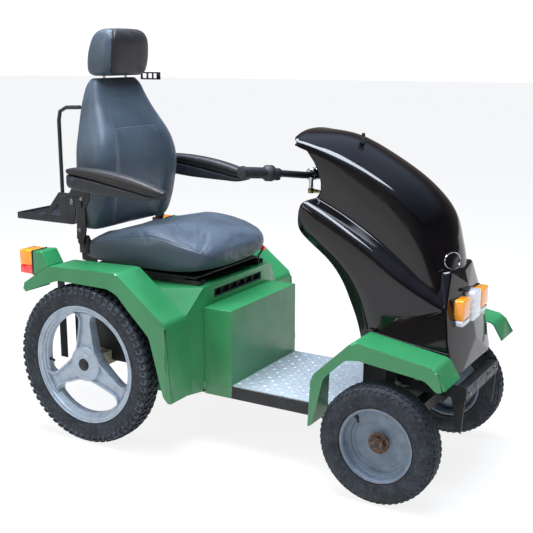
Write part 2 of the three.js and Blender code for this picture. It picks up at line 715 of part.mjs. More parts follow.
/** One closed cross-section of the cowl, drawn in by a wall thickness when asked. */
function cowlRing(station, inset) {
  const inward = (point, toward) => {
    const [x, half, z] = point
    const pull = v2(toward[0] - x, toward[2] - z).setLength(inset || 1e-9)
    return [x + pull.x, Math.max(half - inset, 0), z + pull.y]
  }
  const { foot, ledge, waist, crease, crown } = station
  const crownEdge = [0, 1, 2].map((i) => 0.45 * crease[i] + 0.55 * crown[i])
  crownEdge[1] = 0.62 * crease[1]
  crownEdge[2] += 8
  const under = [foot[0] - inset * 3, foot[1] - inset, foot[2] - inset * 3]
  const half = [under, ledge, waist, crease, crownEdge].map((p, i) => {
    if (i === 0 || !inset) return p
    return i < 3 ? [p[0], p[1] - inset, p[2]] : inward(p, waist)
  })
  const peak = inset ? inward(crown, waist) : crown
  const right = half.map(([x, y, z]) => v3(x, -y, z))
  const left = half.map(([x, y, z]) => v3(x, y, z)).reverse()
  return [...right, v3(peak[0], 0, peak[2]), ...left]
}

/** Upper part of the cowl, from the rider's end to the face that carries the lamps. */
function cowlForm(inset) {
  const rings = COWL_STATIONS.map((station) => cowlRing(station, inset))
  if (inset) {
    const last = rings.length - 1
    rings[last] = rings[last].map((point) => point.clone().add(v3(-inset, 0, 0)))
    rings.unshift(rings[0].map((point) => point.clone().add(v3(-40, 0, 0))))
  }
  return loft(rings)
}

/** Lower nose between the fenders, open underneath when drawn in by a wall thickness. */
function noseForm(inset) {
  const low = NOSE_BOTTOM - inset * 3
  const back = 640 - inset * 2
  const points = [-1, 1].flatMap((side) => [
    v3(698 - inset, side * (112 - inset), 556 - inset),
    v3(690 - inset, side * (148 - inset), 536 - inset),
    v3(755 - inset, side * (128 - inset), low),
    v3(728 - inset, side * (186 - inset), 462),
    v3(738 - inset, side * (170 - inset), low),
    v3(back, side * (186 - inset), 462),
    v3(back, side * (170 - inset), low),
  ])
  return hull([...points, v3(712 - inset, 0, 562 - inset)])
}

function frontCowl() {
  return join(cowlForm(0), noseForm(0)).subtract(join(cowlForm(SHELL), noseForm(SHELL)))
}
add('front_cowl', frontCowl(), GLOSS_BLACK)

// ---- lamps on the nose -------------------------------------------------------------------
const LAMP_FACE_X = 750
const LAMP_BOTTOM = 508
const LAMP_TOP = 588
add('headlamp', box(728 + GAP, LAMP_FACE_X + 14, -34, 34, LAMP_BOTTOM - 2, LAMP_TOP + 8), CLEAR_LENS)
for (const [place, side] of [['right', -1], ['left', 1]]) {
  const lamp = box(724 + GAP, LAMP_FACE_X, side * 50, side * 122, LAMP_BOTTOM, LAMP_TOP)
  add(`front_indicator_${place}`, lamp, AMBER)
}

/** Black leg shield that closes the cowl towards the rider, with the dash ledge at its top. */
function legShield() {
  const line = [
    [456, FLOOR_TOP + GAP],
    [458, 468],
    [440, 540],
    [406, 612],
    [362, 672],
    [300, 726],
    [250, 770],
    [238, 806],
    [250, 838],
  ]
  const half = COWL_HALF_WIDTH - SHELL - 8
  return bentSheet(line, 3, -half, half)
}
add('leg_shield', legShield(), SATIN_BLACK)

/** Guard in front of the axle: two upright plates, a crossbar and arms back to the frame. */
function frontGuard() {
  const plateOutline = [
    [716, 342],
    [766, 342],
    [769, 300],
    [760, 193],
    [744, 211],
    [730, 290],
  ]
  const arms = [-1, 1].flatMap((side) => {
    const outer = side * GUARD_HALF_WIDTH
    const inner = outer - side * 5
    const plate = sidePlate(plateOutline, inner, outer)
    const foot = side * (RAIL_HALF_SPACING + RAIL_WIDTH / 2)
    const arm = box(600, 735, inner, outer, 304, 334)
    const link = box(600, 606, foot - side * 30, outer, 304, 334)
    const stay = box(RAIL_FRONT_X + GAP, 606, foot - side * 30, foot - side * 24, 304, 334)
    return [plate, arm, link, stay]
  })
  const bar = box(766, 772, -GUARD_HALF_WIDTH, GUARD_HALF_WIDTH, 298, 338)
  const flange = box(740, 769, -GUARD_HALF_WIDTH, GUARD_HALF_WIDTH, 332, 337)
  return join(bar, flange, ...arms)
}
add('front_guard', frontGuard(), SATIN_BLACK)

// ---- steering ----------------------------------------------------------------------------
/** Move a piece drawn about a vertical axis through its own origin onto the steering column. */
function onColumn(body) {
  const degrees = -THREE.MathUtils.radToDeg(COLUMN_TILT)
  return body.rotate([0, degrees, 0]).translate([COLUMN_TOP.x, 0, COLUMN_TOP.z])
}

/** Point in the column's own frame that lies at a place given in the machine's frame. */
function inColumn(x, y, z) {
  return v3(x - COLUMN_TOP.x, y, z - COLUMN_TOP.z).applyAxisAngle(v3(0, 1, 0), COLUMN_TILT)
}

function steeringColumn() {
  const shaft = rod(v3(0, 0, -COLUMN_LENGTH), v3(0, 0, 12), COLUMN_RADIUS, 20)
  const dropArm = box(-STEERING_ARM - 8, 6, -9, 9, -COLUMN_LENGTH, -COLUMN_LENGTH + 10)
  const stem = rod(v3(0, 0, -2), inColumn(BAR_CLAMP.x + 16, 0, BAR_CLAMP.z - 1), 13, 16)
  return onColumn(join(shaft, dropArm, stem))
}
add('steering_column', steeringColumn(), FRAME_STEEL)

/** Mast that carries the column in two bearings and stands on the frame's front beam. */
function columnMast() {
  const bore = COLUMN_RADIUS + RUNNING_GAP
  const offset = 42
  const low = -500
  const high = -70
  const mast = box(offset - 12, offset + 12, -14, 14, low - 15, high + 15)
  const blocks = [low, high].map((z) => {
    const block = box(-bore - 12, offset, -bore - 10, bore + 10, z - 15, z + 15)
    return block.subtract(rod(v3(0, 0, z - 20), v3(0, 0, z + 20), bore, 20))
  })
  const footTop = FRONT_BEAM_TOP + GAP + 7
  const foot = box(FRONT_BEAM_X, FRONT_BEAM_X + 25, -60, 60, FRONT_BEAM_TOP + GAP, footTop)
  const strut = box(FRONT_BEAM_X, FRONT_BEAM_X + 25, -14, 14, footTop - 2, footTop + 40)
  return join(onColumn(join(mast, ...blocks)), foot, strut)
}
add('column_mast', columnMast(), FRAME_STEEL)

// Right half of the handlebar's centre line, from the clamp to the outer end of the bar.
const BAR_LINE = [
  [BAR_CLAMP.x, -45, BAR_CLAMP.z],
  [138, -128, 924],
  [97, -298, 943],
]
const [GRIP_START, GRIP_END] = BAR_LINE.slice(-2)

/** Point along the right grip: 0 at its inner end, 1 at its outer end. */
function alongGrip(share, side) {
  const [x, y, z] = GRIP_START.map((from, i) => from + share * (GRIP_END[i] - from))
  return v3(x, -side * y, z)
}

function handlebar() {
  const right = BAR_LINE.map(([x, y, z]) => v3(x, y, z))
  const left = right.map(({ x, y, z }) => v3(x, -y, z)).reverse()
  return bentRod([...left, ...right], 18, BAR_RADIUS, 10)
}
add('handlebar', handlebar(), SATIN_BLACK)

function barClamp() {
  const { x, z } = BAR_CLAMP
  const body = rod(v3(x, -24, z), v3(x, 24, z), BAR_RADIUS + 10, 20)
  const cap = rod(v3(x + 4, -30, z - 12), v3(x + 4, -30, z - 42), 7, 12)
  const lug = rod(v3(x + 4, -36, z - 8), v3(x + 4, -14, z - 8), 8, 12)
  const bore = rod(v3(x, -40, z), v3(x, 40, z), BAR_RADIUS + GAP, 20)
  const spigotFrom = v3(x, 0, z)
  const shaft = v3(x + 16, 0, z - 1)
  const away = shaft.clone().add(shaft.clone().sub(spigotFrom).setLength(20))
  const seat = rod(shaft.clone().sub(v3(2 * GAP, 0, 0)), away, 14, 16)
  return join(body, lug, cap).subtract(bore).subtract(seat)
}
add('bar_clamp', barClamp(), CHROME)

/** Brass dog-bone link between the clamp's stud and the column. */
function columnLink() {
  const { x, z } = BAR_CLAMP
  const from = v3(x + 4, -30, z - 42 - GAP - 8)
  const to = v3(x + 60, -10, z - 56)
  const eyes = [from, to].map((p) => rod(p.clone().add(v3(0, 0, -8)), p.clone().add(v3(0, 0, 8)), 9, 16))
  return join(rod(from, to, 6, 12), ...eyes)
}
add('column_link', columnLink(), BRASS)

for (const [place, side] of [['right', -1], ['left', 1]]) {
  const flange = rod(alongGrip(0.3, side), alongGrip(0.48, side), GRIP_RADIUS + 8, 16)
  const sleeve = rod(alongGrip(0.4, side), alongGrip(1.02, side), GRIP_RADIUS, 16)
  const cap = rod(alongGrip(1, side), alongGrip(1.05, side), GRIP_RADIUS + 3, 16)
  const bore = rod(alongGrip(0.05, side), alongGrip(1.01, side), BAR_RADIUS + RUNNING_GAP, 16)
  add(`grip_${place}`, join(flange, sleeve, cap).subtract(bore), SATIN_BLACK)
}
const housing = rod(alongGrip(0.11, -1), alongGrip(0.29, -1), GRIP_RADIUS + 2, 16)
const housingBore = rod(alongGrip(0.05, -1), alongGrip(0.35, -1), BAR_RADIUS + RUNNING_GAP, 16)
add('control_housing', housing.subtract(housingBore), SATIN_BLACK)

// ---- dash inside the hood ----------------------------------------------------------------
const DASH = { foot: [344, 888], head: [366, 972], halfWidth: 122 }
const dashLine = [DASH.foot, DASH.head]
add('dash_panel', bentSheet(dashLine, 3, -DASH.halfWidth, DASH.halfWidth), SATIN_BLACK)

/** Round knob with a thumb bar, standing on the rider's face of the dash. */
function dashKnob(y, radius, height) {
  const along = v3(DASH.head[0] - DASH.foot[0], 0, DASH.head[1] - DASH.foot[1]).normalize()
  const outward = v3(-along.z, 0, along.x)
  const middle = v3((DASH.foot[0] + DASH.head[0]) / 2, y, (DASH.foot[1] + DASH.head[1]) / 2)
  const base = middle.clone().addScaledVector(outward, RUNNING_GAP)
  const top = middle.clone().addScaledVector(outward, height)
  const across = (point, share) => point.clone().addScaledVector(along, share * radius)
  const corners = [base, top].flatMap((point) => [-1.15, 1.15].map((share) => across(point, share)))
  const bar = hull(corners.flatMap((point) => [-3, 3].map((shift) => point.clone().add(v3(0, shift, 0)))))
  return join(rod(base, base.clone().addScaledVector(outward, height * 0.6), radius, 16), bar)
}
add('key_switch', dashKnob(-70, 10, 22), CHROME)
add('speed_dial', dashKnob(70, 17, 16), SATIN_BLACK)

// ---- clamp on the hood -------------------------------------------------------------------
function hoodClamp() {
  const foot = v3(379, 0, 1022)
  const post = rod(foot, foot.clone().add(v3(0, 0, 46)), 6, 12)
  const base = rod(foot.clone().add(v3(0, 0, 6)), foot.clone().add(v3(0, 0, 12)), 15, 16)
  return join(post, base)
}
add('hood_clamp', hoodClamp(), SATIN_BLACK)

// ---- seat --------------------------------------------------------------------------------
/** Two channels on the seat box, tied together across it. */
function seatRails() {
  const { rear, front, bottom, height, width } = SEAT_RAIL
  const low = bottom - 1
  const rails = [-1, 1].map((side) => {
    const y = side * SEAT_RAIL_HALF_SPACING
    const channel = box(rear, front, y - width / 2, y + width / 2, low, low + height)
    const half = width / 2 - 5
    const groove = box(rear - 5, front + 5, y - half, y + half, low + 4, low + height + 5)
    return channel.subtract(groove)
  })
  const reach = SEAT_RAIL_HALF_SPACING - width / 2 + 2
  const ties = [rear + 20, front - 60].map((x) => box(x, x + 25, -reach, reach, low, low + 3))
  return join(...rails, ...ties)
}
add('seat_rails', seatRails(), FRAME_STEEL)

/** Pressed pan under the cushion with the two runners that slide in the rails. */
function seatPan() {
  const { rear, front, bottom, height, width } = SEAT_RAIL
  const pan = box(-585, -150, -200, 200, bottom + height + 3, bottom + height + 9)
  const runners = [-1, 1].map((side) => {
    const y = side * SEAT_RAIL_HALF_SPACING
    const half = width / 2 - 5 - RUNNING_GAP
    const low = bottom - 1 + 4 + RUNNING_GAP
    const reach = SEAT_SLIDE_TRAVEL + 2
    return box(rear + reach, front - reach, y - half, y + half, low, bottom + height + 5)
  })
  const hinge = [-1, 1].flatMap((side) => {
    const y0 = side * HINGE_PLATE_Y
    const y1 = side * (HINGE_PLATE_Y + 6)
    const plate = [
      [-625, 580],
      [-560, 566],
      [-560, 600],
      [-594, 668],
      [-630, 668],
    ]
    return [sidePlate(plate, y0, y1), box(-590, -560, side * 195, y1, bottom + height + 3, bottom + height + 9)]
  })
  return join(pan, ...runners, ...hinge)
}
add('seat_pan', seatPan(), FRAME_STEEL)

// Cushion sections from rear to front: x, underside, crown, half-width, squareness of the ring.
const CUSHION_SECTIONS = [
  [-592, 592, 640, 196, 4],
  [-575, 580, 656, 203, 5],
  [-556, 577, 664, 204, 5],
  [-470, 574, 684, 234, 5],
  [-330, 572, 716, SEAT_HALF_WIDTH, 5],
  [-220, 573, 708, SEAT_HALF_WIDTH - 2, 4.5],
  [-160, 578, 694, 222, 3.6],
  [-122, 592, 680, 196, 3],
  [-98, 610, 666, 160, 2.6],
  [-86, 628, 652, 110, 2.4],
]

function seatCushion() {
  const rings = CUSHION_SECTIONS.map(([x, low, high, half, squareness]) => {
    const middle = v3(x, 0, (low + high) / 2)
    return cushionRing(middle, v3(0, half, 0), v3(0, 0, (high - low) / 2), squareness)
  })
  return loft(rings)
}
add('seat_cushion', seatCushion(), VINYL)

// Back sections from bottom to top: height, front face, rear face, half-width.
const BACK_SECTIONS = [
  [700, -552, -610, 196],
  [716, -538, -622, 204],
  [800, -512, -630, 218],
  [919, -500, -634, 222],
  [1018, -520, -642, 196],
  [1110, -572, -652, 156],
  [1180, -598, -648, 124],
  [1200, -608, -640, 106],
]

function backrest() {
  const rings = BACK_SECTIONS.map(([z, front, rear, half]) => {
    const middle = v3((front + rear) / 2, 0, z)
    return cushionRing(middle, v3(0, half, 0), v3((front - rear) / 2, 0, 0), 4)
  })
  const posts = [-1, 1].map((side) => {
    const y = side * HEADREST_POST_HALF_SPACING
    return rod(v3(POST_X, y, 1080), v3(POST_X, y, 1260), HEADREST_POST_RADIUS + RUNNING_GAP, 12)
  })
  return posts.reduce((body, post) => body.subtract(post), loft(rings))
}
add('backrest', backrest(), VINYL)

/** Reclining frame: an arm on each side from the pivot up to the armrest, tied behind the back. */
function backFrame() {
  const plate = [
    [-672, 768],
    [-588, 768],
    [-566, 800],
    [-556, 884],
    [-604, 892],
    [-660, 812],
    [-672, 812],
  ]
  const strap = [
    [-630, 656],
    [-596, 656],
    [-588, 690],
    [-588, 775],
    [-624, 775],
  ]
  const sides = [-1, 1].flatMap((side) => {
    const y0 = side * BRACKET_Y
    const y1 = side * (BRACKET_Y + 6)
    const pin = rod(
      v3(ARM_PIVOT.x, side * (BRACKET_Y + 2), ARM_PIVOT.z),
      v3(ARM_PIVOT.x, side * (ARM_Y - 10), ARM_PIVOT.z),
      7,
      16,
    )
    const boss = rod(
      v3(BACK_PIVOT.x, side * (HINGE_PLATE_Y + 6 + RUNNING_GAP), BACK_PIVOT.z),
      v3(BACK_PIVOT.x, y1, BACK_PIVOT.z),
      14,
      20,
    )
    return [sidePlate(plate, y0, y1), sidePlate(strap, y0, y1), boss, pin]
  })
  const tie = box(-664, -652, -BRACKET_Y - 2, BRACKET_Y + 2, 772, 800)
  return join(...sides, tie)
}
add('back_frame', backFrame(), FRAME_STEEL)

/** Carrier behind the seat: bent bars from the top of the back down to an open tray. */
function carrier() {
  const half = 165
  const bars = [-1, 1].map((side) => {
    const y = side * (half - 10)
    const route = [v3(-654, y, 1108), v3(-756, y, 1104), v3(-756, y, 730)]
    return bentRod(route, 40, 7, 8)
  })
  const floor = box(-976, -706, -half, half, 690, 694)
  const rims = [
    box(-976, -972, -half, half, 690, 714),
    box(-976, -706, -half, -half + 4, 690, 714),
    box(-976, -706, half - 4, half, 690, 714),
  ]
  const gussetOutline = [
    [-706, 692],
    [-840, 692],
    [-840, 716],
    [-766, 803],
    [-690, 803],
    [-690, 724],
  ]
  const holeOutline = [
    [-760, 716],
    [-812, 716],
    [-772, 762],
  ]
  const gussets = [-1, 1].map((side) => {
    const y0 = side * half
    const y1 = side * (half - 4)
    return sidePlate(gussetOutline, y0, y1).subtract(sidePlate(holeOutline, y0 + side, y1 - side))
  })
  const arms = [-1, 1].flatMap((side) => {
    const plate = box(-694, -678, side * (half - 4), side * 235, 770, 803)
    const tab = box(-694, -600, side * (230 + GAP), side * 235, 770, 803)
    return [plate, tab]
  })
  return join(floor, ...rims, ...gussets, ...bars, ...arms)
}
add('rear_carrier', carrier(), SATIN_BLACK)

/** Armrest: hard shell that pivots on the bracket, and the padded top that lies on it. */
const ARM_TOP_LINE = [
  [-612, 912],
  [-520, 914],
  [-400, 904],
  [-280, 880],
  [-205, 856],
]
const ARM_SEAM_LINE = [
  [-208, 842],
  [-270, 838],
  [-400, 862],
  [-500, 880],
  [-612, 892],
]
function armPad(side) {
  const half = ARM_WIDTH / 2
  return sidePlate([...ARM_TOP_LINE, ...ARM_SEAM_LINE], side * (ARM_Y - half), side * (ARM_Y + half))
}
function armShell(side) {
  const half = ARM_WIDTH / 2 - 3
  const seam = ARM_SEAM_LINE.map(([x, z]) => [x, z - GAP]).reverse()
  const underside = [
    [-230, 832],
    [-272, 824],
    [-472, 830],
    [-585, 838],
    [-608, 852],
  ]
  const body = sidePlate([...seam, ...underside], side * (ARM_Y - half), side * (ARM_Y + half))
  const bore = rod(v3(ARM_PIVOT.x, side * 240, ARM_PIVOT.z), v3(ARM_PIVOT.x, side * 264, ARM_PIVOT.z), 8, 16)
  return body.subtract(bore)
}
for (const [place, side] of [['right', -1], ['left', 1]]) {
  add(`armrest_pad_${place}`, armPad(side), VINYL)
  add(`armrest_shell_${place}`, armShell(side), ARM_PLASTIC)
}

function headrest() {
  const sections = [
    [HEADREST_BOTTOM, -572, -650, 100],
    [1236, -562, -662, 116],
    [1290, -546, -656, 114],
    [1348, -538, -640, 102],
    [1370, -552, -620, 86],
    [1376, -572, -600, 62],
  ]
  const rings = sections.map(([z, front, rear, half]) => {
    const middle = v3((front + rear) / 2, 0, z)
    return cushionRing(middle, v3(0, half, 0), v3((front - rear) / 2, 0, 0), 4)
  })
  return loft(rings)
}
add('headrest', headrest(), VINYL)

/** Two chrome posts under the headrest, tied by its bottom plate. */
function headrestFrame() {
  const top = HEADREST_BOTTOM - GAP
  const posts = [-1, 1].map((side) => {
    const y = side * HEADREST_POST_HALF_SPACING
    return rod(v3(POST_X, y, 1095), v3(POST_X, y, top), HEADREST_POST_RADIUS, 12)
  })
  const reach = HEADREST_POST_HALF_SPACING + 12
  const plate = box(POST_X - 12, POST_X + 12, -reach, reach, top - 4, top)
  return join(...posts, plate)
}
add('headrest_frame', headrestFrame(), CHROME)

/** Slide latch: a bent rod under the seat pan with a ball knob at its end. */
function slideLatch() {
  const route = [v3(-260, 160, 553), v3(-121, 160, 553), v3(-121, 160, 580), v3(-121, 190, 594)]
  const knob = new THREE.SphereGeometry(10, 12, 8).translate(-121, 190, 601)
  return join(bentRod(route, 8, 3.5, 8), solid(knob))
}
add('slide_latch', slideLatch(), RED_KNOB)

group.updateMatrixWorld(true)
const bounds = new THREE.Box3().setFromObject(group)
group.position.set(-(bounds.min.x + bounds.max.x) / 2, 0, -bounds.min.z)

export default group
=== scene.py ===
"""Mobility scooter: the finished looks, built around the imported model."""
import math

import bmesh
import bpy
from bpy.props import FloatProperty, FloatVectorProperty, IntProperty, PointerProperty
from mathutils import Matrix, Vector, noise
from mathutils.bvhtree import BVHTree
from mathutils.kdtree import KDTree


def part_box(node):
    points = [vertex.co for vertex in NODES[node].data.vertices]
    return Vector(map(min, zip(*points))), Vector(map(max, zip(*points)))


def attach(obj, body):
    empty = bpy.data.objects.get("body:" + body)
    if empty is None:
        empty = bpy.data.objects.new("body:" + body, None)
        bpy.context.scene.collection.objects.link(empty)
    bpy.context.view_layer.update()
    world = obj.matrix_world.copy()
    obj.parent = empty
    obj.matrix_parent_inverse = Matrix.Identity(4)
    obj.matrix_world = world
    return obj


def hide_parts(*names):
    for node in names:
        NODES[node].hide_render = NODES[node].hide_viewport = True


bl_info = {
    "name": "Mobility scooter",
    "version": (1, 0, 0),
    "blender": (4, 5, 0),
    "location": "View3D > Sidebar > Scooter",
    "description": "Builds the body, wheels, seat and controls of a mobility scooter",
    "category": "Object",
}

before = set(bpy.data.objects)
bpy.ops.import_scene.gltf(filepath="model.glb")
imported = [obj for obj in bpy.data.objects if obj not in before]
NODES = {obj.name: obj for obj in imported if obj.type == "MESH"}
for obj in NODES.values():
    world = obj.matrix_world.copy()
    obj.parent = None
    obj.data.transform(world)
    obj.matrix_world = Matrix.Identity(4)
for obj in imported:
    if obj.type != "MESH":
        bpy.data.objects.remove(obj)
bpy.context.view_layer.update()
SIDES = (("right", -1), ("left", 1))

# Places in this file are millimetres from the front face of the battery cover, on the ground
# line and the centre plane; x is forward, y to the rider's left and z up.
COVER_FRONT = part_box("battery_cover")[1].x
REAR_AXLE = (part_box("rear_tyre_right")[0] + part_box("rear_tyre_right")[1]) / 2
FRONT_AXLE = (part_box("front_tyre_right")[0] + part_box("front_tyre_right")[1]) / 2
REAR_RADIUS = REAR_AXLE.z
FRONT_RADIUS = FRONT_AXLE.z


def mm(length):
    """Millimetres in metres."""
    return length * 0.001


def at(x, y, z):
    """Point in the model's frame from a place in millimetres."""
    return Vector((mm(x) + COVER_FRONT, mm(y), mm(z)))


def linear(hex_code, alpha=1.0):
    """sRGB hex colour as linear light."""
    values = [int(hex_code[i : i + 2], 16) / 255 for i in (1, 3, 5)]
    curve = [v / 12.92 if v <= 0.04045 else ((v + 0.055) / 1.055) ** 2.4 for v in values]
    return (*curve, alpha)


# ---- sizes and colours a user would change ---------------------------------------------------
def length_property(name, description, millimetres, low=0.1, high=100.0):
    """Length a user can change, shown in the scene's units."""
    limits = {"default": mm(millimetres), "min": mm(low), "max": mm(high)}
    return FloatProperty(name=name, description=description, unit="LENGTH", **limits)


def colour_property(name, description, hex_code):
    """Colour a user can change."""
    kind = {"default": linear(hex_code)[:3], "min": 0.0, "max": 1.0, "size": 3, "subtype": "COLOR"}
    return FloatVectorProperty(name=name, description=description, **kind)


class ScooterSizes(bpy.types.PropertyGroup):
    """Sizes of the details that stand on the model."""

    fold: length_property("Body corner", "Radius on the folds of the green mouldings", 9, 1, 12)
    rim_edge: length_property("Moulding edge", "Radius on the cut edges of the mouldings", 1.2, 0.2, 2)
    hood_edge: length_property("Hood edge", "Radius along the creases of the cowl", 13, 2, 20)
    rear_lug: length_property("Rear tread depth", "Height of the knobs on the rear tyres", 5, 2, 10)
    front_lug: length_property("Front tread depth", "Depth of the front tyres' grooves", 5, 2, 8)
    chequer: length_property("Chequer length", "Length of one raised mark on the floor plate", 23, 10,
                             40)
    swell: length_property("Cushion swell", "Most that the padding may swell", 8, 2, 28)
    rear_lugs: IntProperty(name="Rear knobs", description="Knobs in one row round a rear tyre",
                           default=64, min=20, max=80)
    front_lugs: IntProperty(name="Front blocks",
                            description="Tread blocks in one row round a front tyre", default=56,
                            min=20, max=90)


class ScooterColours(bpy.types.PropertyGroup):
    """Colours of the paint, trim and upholstery."""

    body: colour_property("Body", "Gel coat of the fenders and boxes", "#2e8f55")
    cowl: colour_property("Cowl", "Gloss coat of the cowl", "#0b0b0d")
    wheels: colour_property("Rear wheels", "Silver paint of the cast wheels", "#a9b7c4")
    vinyl: colour_property("Vinyl", "Upholstery of the seat", "#37434e")
    amber: colour_property("Amber", "Turn-lamp lenses", "#ff8d08")


def sizes():
    return bpy.context.scene.scooter_sizes


def colour(name):
    """One of the user's colours, as a value for a colour socket."""
    return (*getattr(bpy.context.scene.scooter_colours, name), 1.0)


# ---- materials -------------------------------------------------------------------------------
def add_node(tree, kind, inputs=None, **settings):
    """Add a shader node with its settings; `inputs` holds values, or sockets to link from."""
    made = tree.nodes.new("ShaderNode" + kind)
    for name, value in settings.items():
        setattr(made, name, value)
    for key, value in (inputs or {}).items():
        socket = made.inputs[key]
        if isinstance(value, bpy.types.NodeSocket):
            tree.links.new(value, socket)
        else:
            socket.default_value = value
    return made


def surface(name, constants):
    """Start a material and return it with its tree, its shader and its Object coordinates."""
    material = bpy.data.materials.new(name)
    material.use_nodes = True
    tree = material.node_tree
    shader = tree.nodes["Principled BSDF"]
    for key, value in constants.items():
        shader.inputs[key].default_value = value
    return material, tree, shader, add_node(tree, "TexCoord").outputs["Object"]


def per_mm(length):
    """Texture scale that gives features about this many millimetres across."""
    return 1000.0 / length


def spots_of(tree, where, patch, detail):
    """Noise of 0 to 1 in patches of a stated size."""
    settings = {"Vector": where, "Scale": per_mm(patch), "Detail": detail}
    return add_node(tree, "TexNoise", settings).outputs["Fac"]


def spread(tree, value, low, high, to_low=0.0, to_high=1.0):
    """The stretch from `low` to `high` of a value, laid out over another stretch."""
    settings = {"Value": value, "From Min": low, "From Max": high, "To Min": to_low, "To Max": to_high}
    return add_node(tree, "MapRange", settings).outputs["Result"]


def times(tree, first, second):
    """Product of two values."""
    return add_node(tree, "Math", {0: first, 1: second}, operation="MULTIPLY").outputs[0]


def blend_colour(tree, shader, share, first, second):
    """Blend of two colours, also set as the shader's colour."""
    blend = add_node(tree, "MixRGB", {"Fac": share, "Color1": first, "Color2": second})
    tree.links.new(blend.outputs["Color"], shader.inputs["Base Color"])
    return blend.outputs["Color"]


def vary_colour(tree, shader, where, first, second, patch, low=0.35, high=0.65, detail=4):
    """Colour that drifts between two tones in patches of a stated size."""
    share = spread(tree, spots_of(tree, where, patch, detail), low, high)
    return blend_colour(tree, shader, share, first, second)


def vary_roughness(tree, shader, where, smooth, rough, patch):
    """Roughness that drifts between two values."""
    dull = spread(tree, spots_of(tree, where, patch, 3.0), 0.3, 0.7, smooth, rough)
    tree.links.new(dull, shader.inputs["Roughness"])


def raise_surface(tree, shader, height, depth_mm, strength=1.0, below=None):
    """Bump from a height socket of 0 to 1, over an earlier bump when one is given."""
    inputs = {"Height": height, "Distance": mm(depth_mm), "Strength": strength}
    if below is not None:
        inputs["Normal"] = below
    bump = add_node(tree, "Bump", inputs)
    tree.links.new(bump.outputs["Normal"], shader.inputs["Normal"])
    return bump.outputs["Normal"]


def dust(tree, shader, where, clean, tone, top_mm, bottom_mm, amount, patch=60):
    """Dust that thickens from one height down to another, broken up by noise."""
    height = add_node(tree, "SeparateXYZ", {"Vector": where}).outputs["Z"]
    fall = spread(tree, height, mm(top_mm), mm(bottom_mm))
    share = times(tree, fall, spots_of(tree, where, patch, 6.0))
    return blend_colour(tree, shader, times(tree, share, amount), clean, tone)


def grain(tree, where, size_mm, kind="TexNoise", detail=2.0):
    """Height pattern with features of a stated size."""
    inputs = {"Vector": where, "Scale": per_mm(size_mm)}
    if kind == "TexNoise":
        inputs["Detail"] = detail
        return add_node(tree, kind, inputs).outputs["Fac"]
    return add_node(tree, kind, inputs).outputs["Distance"]


def gel_coat(name, base, darker):
    """Sprayed gel coat on glass fibre: a hard shine with a faint ripple and rubbed, dusty skirts."""
    constants = {"Roughness": 0.38, "IOR": 1.52, "Coat Weight": 0.35, "Coat Roughness": 0.22}
    material, tree, shader, where = surface(name, constants)
    tone = vary_colour(tree, shader, where, base, darker, 260, 0.3, 0.7, 5)
    dust(tree, shader, where, tone, linear("#7d8c74"), 520, 120, 0.35)
    vary_roughness(tree, shader, where, 0.3, 0.5, 90)
    ripple = raise_surface(tree, shader, grain(tree, where, 24), 0.6, 0.35)
    raise_surface(tree, shader, grain(tree, where, 2.4), 0.08, 0.5, ripple)
    return material


def gloss_coat(name, base):
    """Polished black coat over glass fibre: deep and mirror-like, with a slight long ripple."""
    constants = {"Roughness": 0.1, "IOR": 1.5, "Specular IOR Level": 0.5}
    material, tree, shader, where = surface(name, constants)
    vary_colour(tree, shader, where, base, linear("#141013"), 180)
    vary_roughness(tree, shader, where, 0.05, 0.12, 45)
    raise_surface(tree, shader, grain(tree, where, 90), 1.2, 0.25)
    return material


def moulded_plastic(name, base, second, rough=(0.45, 0.6), grain_mm=1.6, depth=0.12):
    """Injection-moulded plastic with a fine spark-eroded grain."""
    material, tree, shader, where = surface(name, {"IOR": 1.49})
    vary_colour(tree, shader, where, base, second, 40)
    vary_roughness(tree, shader, where, *rough, 30)
    raise_surface(tree, shader, grain(tree, where, grain_mm, detail=3.0), depth, 0.8)
    return material


def powder_coat(name, base, second, rough=(0.4, 0.58), dusty=None):
    """Powder-coated steel: orange peel, with chips of primer grey and road dust low down."""
    material, tree, shader, where = surface(name, {"IOR": 1.5})
    tone = vary_colour(tree, shader, where, base, second, 35)
    if dusty:
        dust(tree, shader, where, tone, dusty, 330, 120, 0.9, 25)
    vary_roughness(tree, shader, where, *rough, 25)
    raise_surface(tree, shader, grain(tree, where, 3), 0.15, 0.6)
    return material


def bare_metal(name, tint, rough, patch=12, scratch=0.25, metallic=1.0):
    """Bare or plated metal with handling marks."""
    material, tree, shader, where = surface(name, {"Metallic": metallic})
    dull = tuple(0.72 * v for v in tint[:3]) + (1.0,)
    vary_colour(tree, shader, where, tint, dull, patch)
    vary_roughness(tree, shader, where, *rough, patch)
    raise_surface(tree, shader, grain(tree, where, 1.2), 0.05, scratch)
    return material


def rusty_steel(name):
    """Plain steel nut gone brown, with brighter worn corners."""
    material, tree, shader, where = surface(name, {"Metallic": 0.35})
    vary_colour(tree, shader, where, linear("#4d3427"), linear("#8d7464"), 9, 0.35, 0.7, 6)
    vary_roughness(tree, shader, where, 0.55, 0.9, 5)
    raise_surface(tree, shader, grain(tree, where, 2.2, detail=5.0), 0.5, 0.8)
    return material


def tyre_rubber(name, dark="#22262b", worn="#323840", chalk=0.3):
    """Tyre rubber: a dull blue-black with pale dust rubbed into it."""
    material, tree, shader, where = surface(name, {"IOR": 1.52, "Specular IOR Level": 0.35})
    tone = vary_colour(tree, shader, where, linear(dark), linear(worn), 40)
    share = spread(tree, spots_of(tree, where, 9, 6.0), 0.52, 0.78, 0.0, chalk)
    blend_colour(tree, shader, share, tone, linear("#6d7278"))
    vary_roughness(tree, shader, where, 0.62, 0.85, 14)
    raise_surface(tree, shader, grain(tree, where, 1.5, detail=4.0), 0.2, 0.7)
    return material


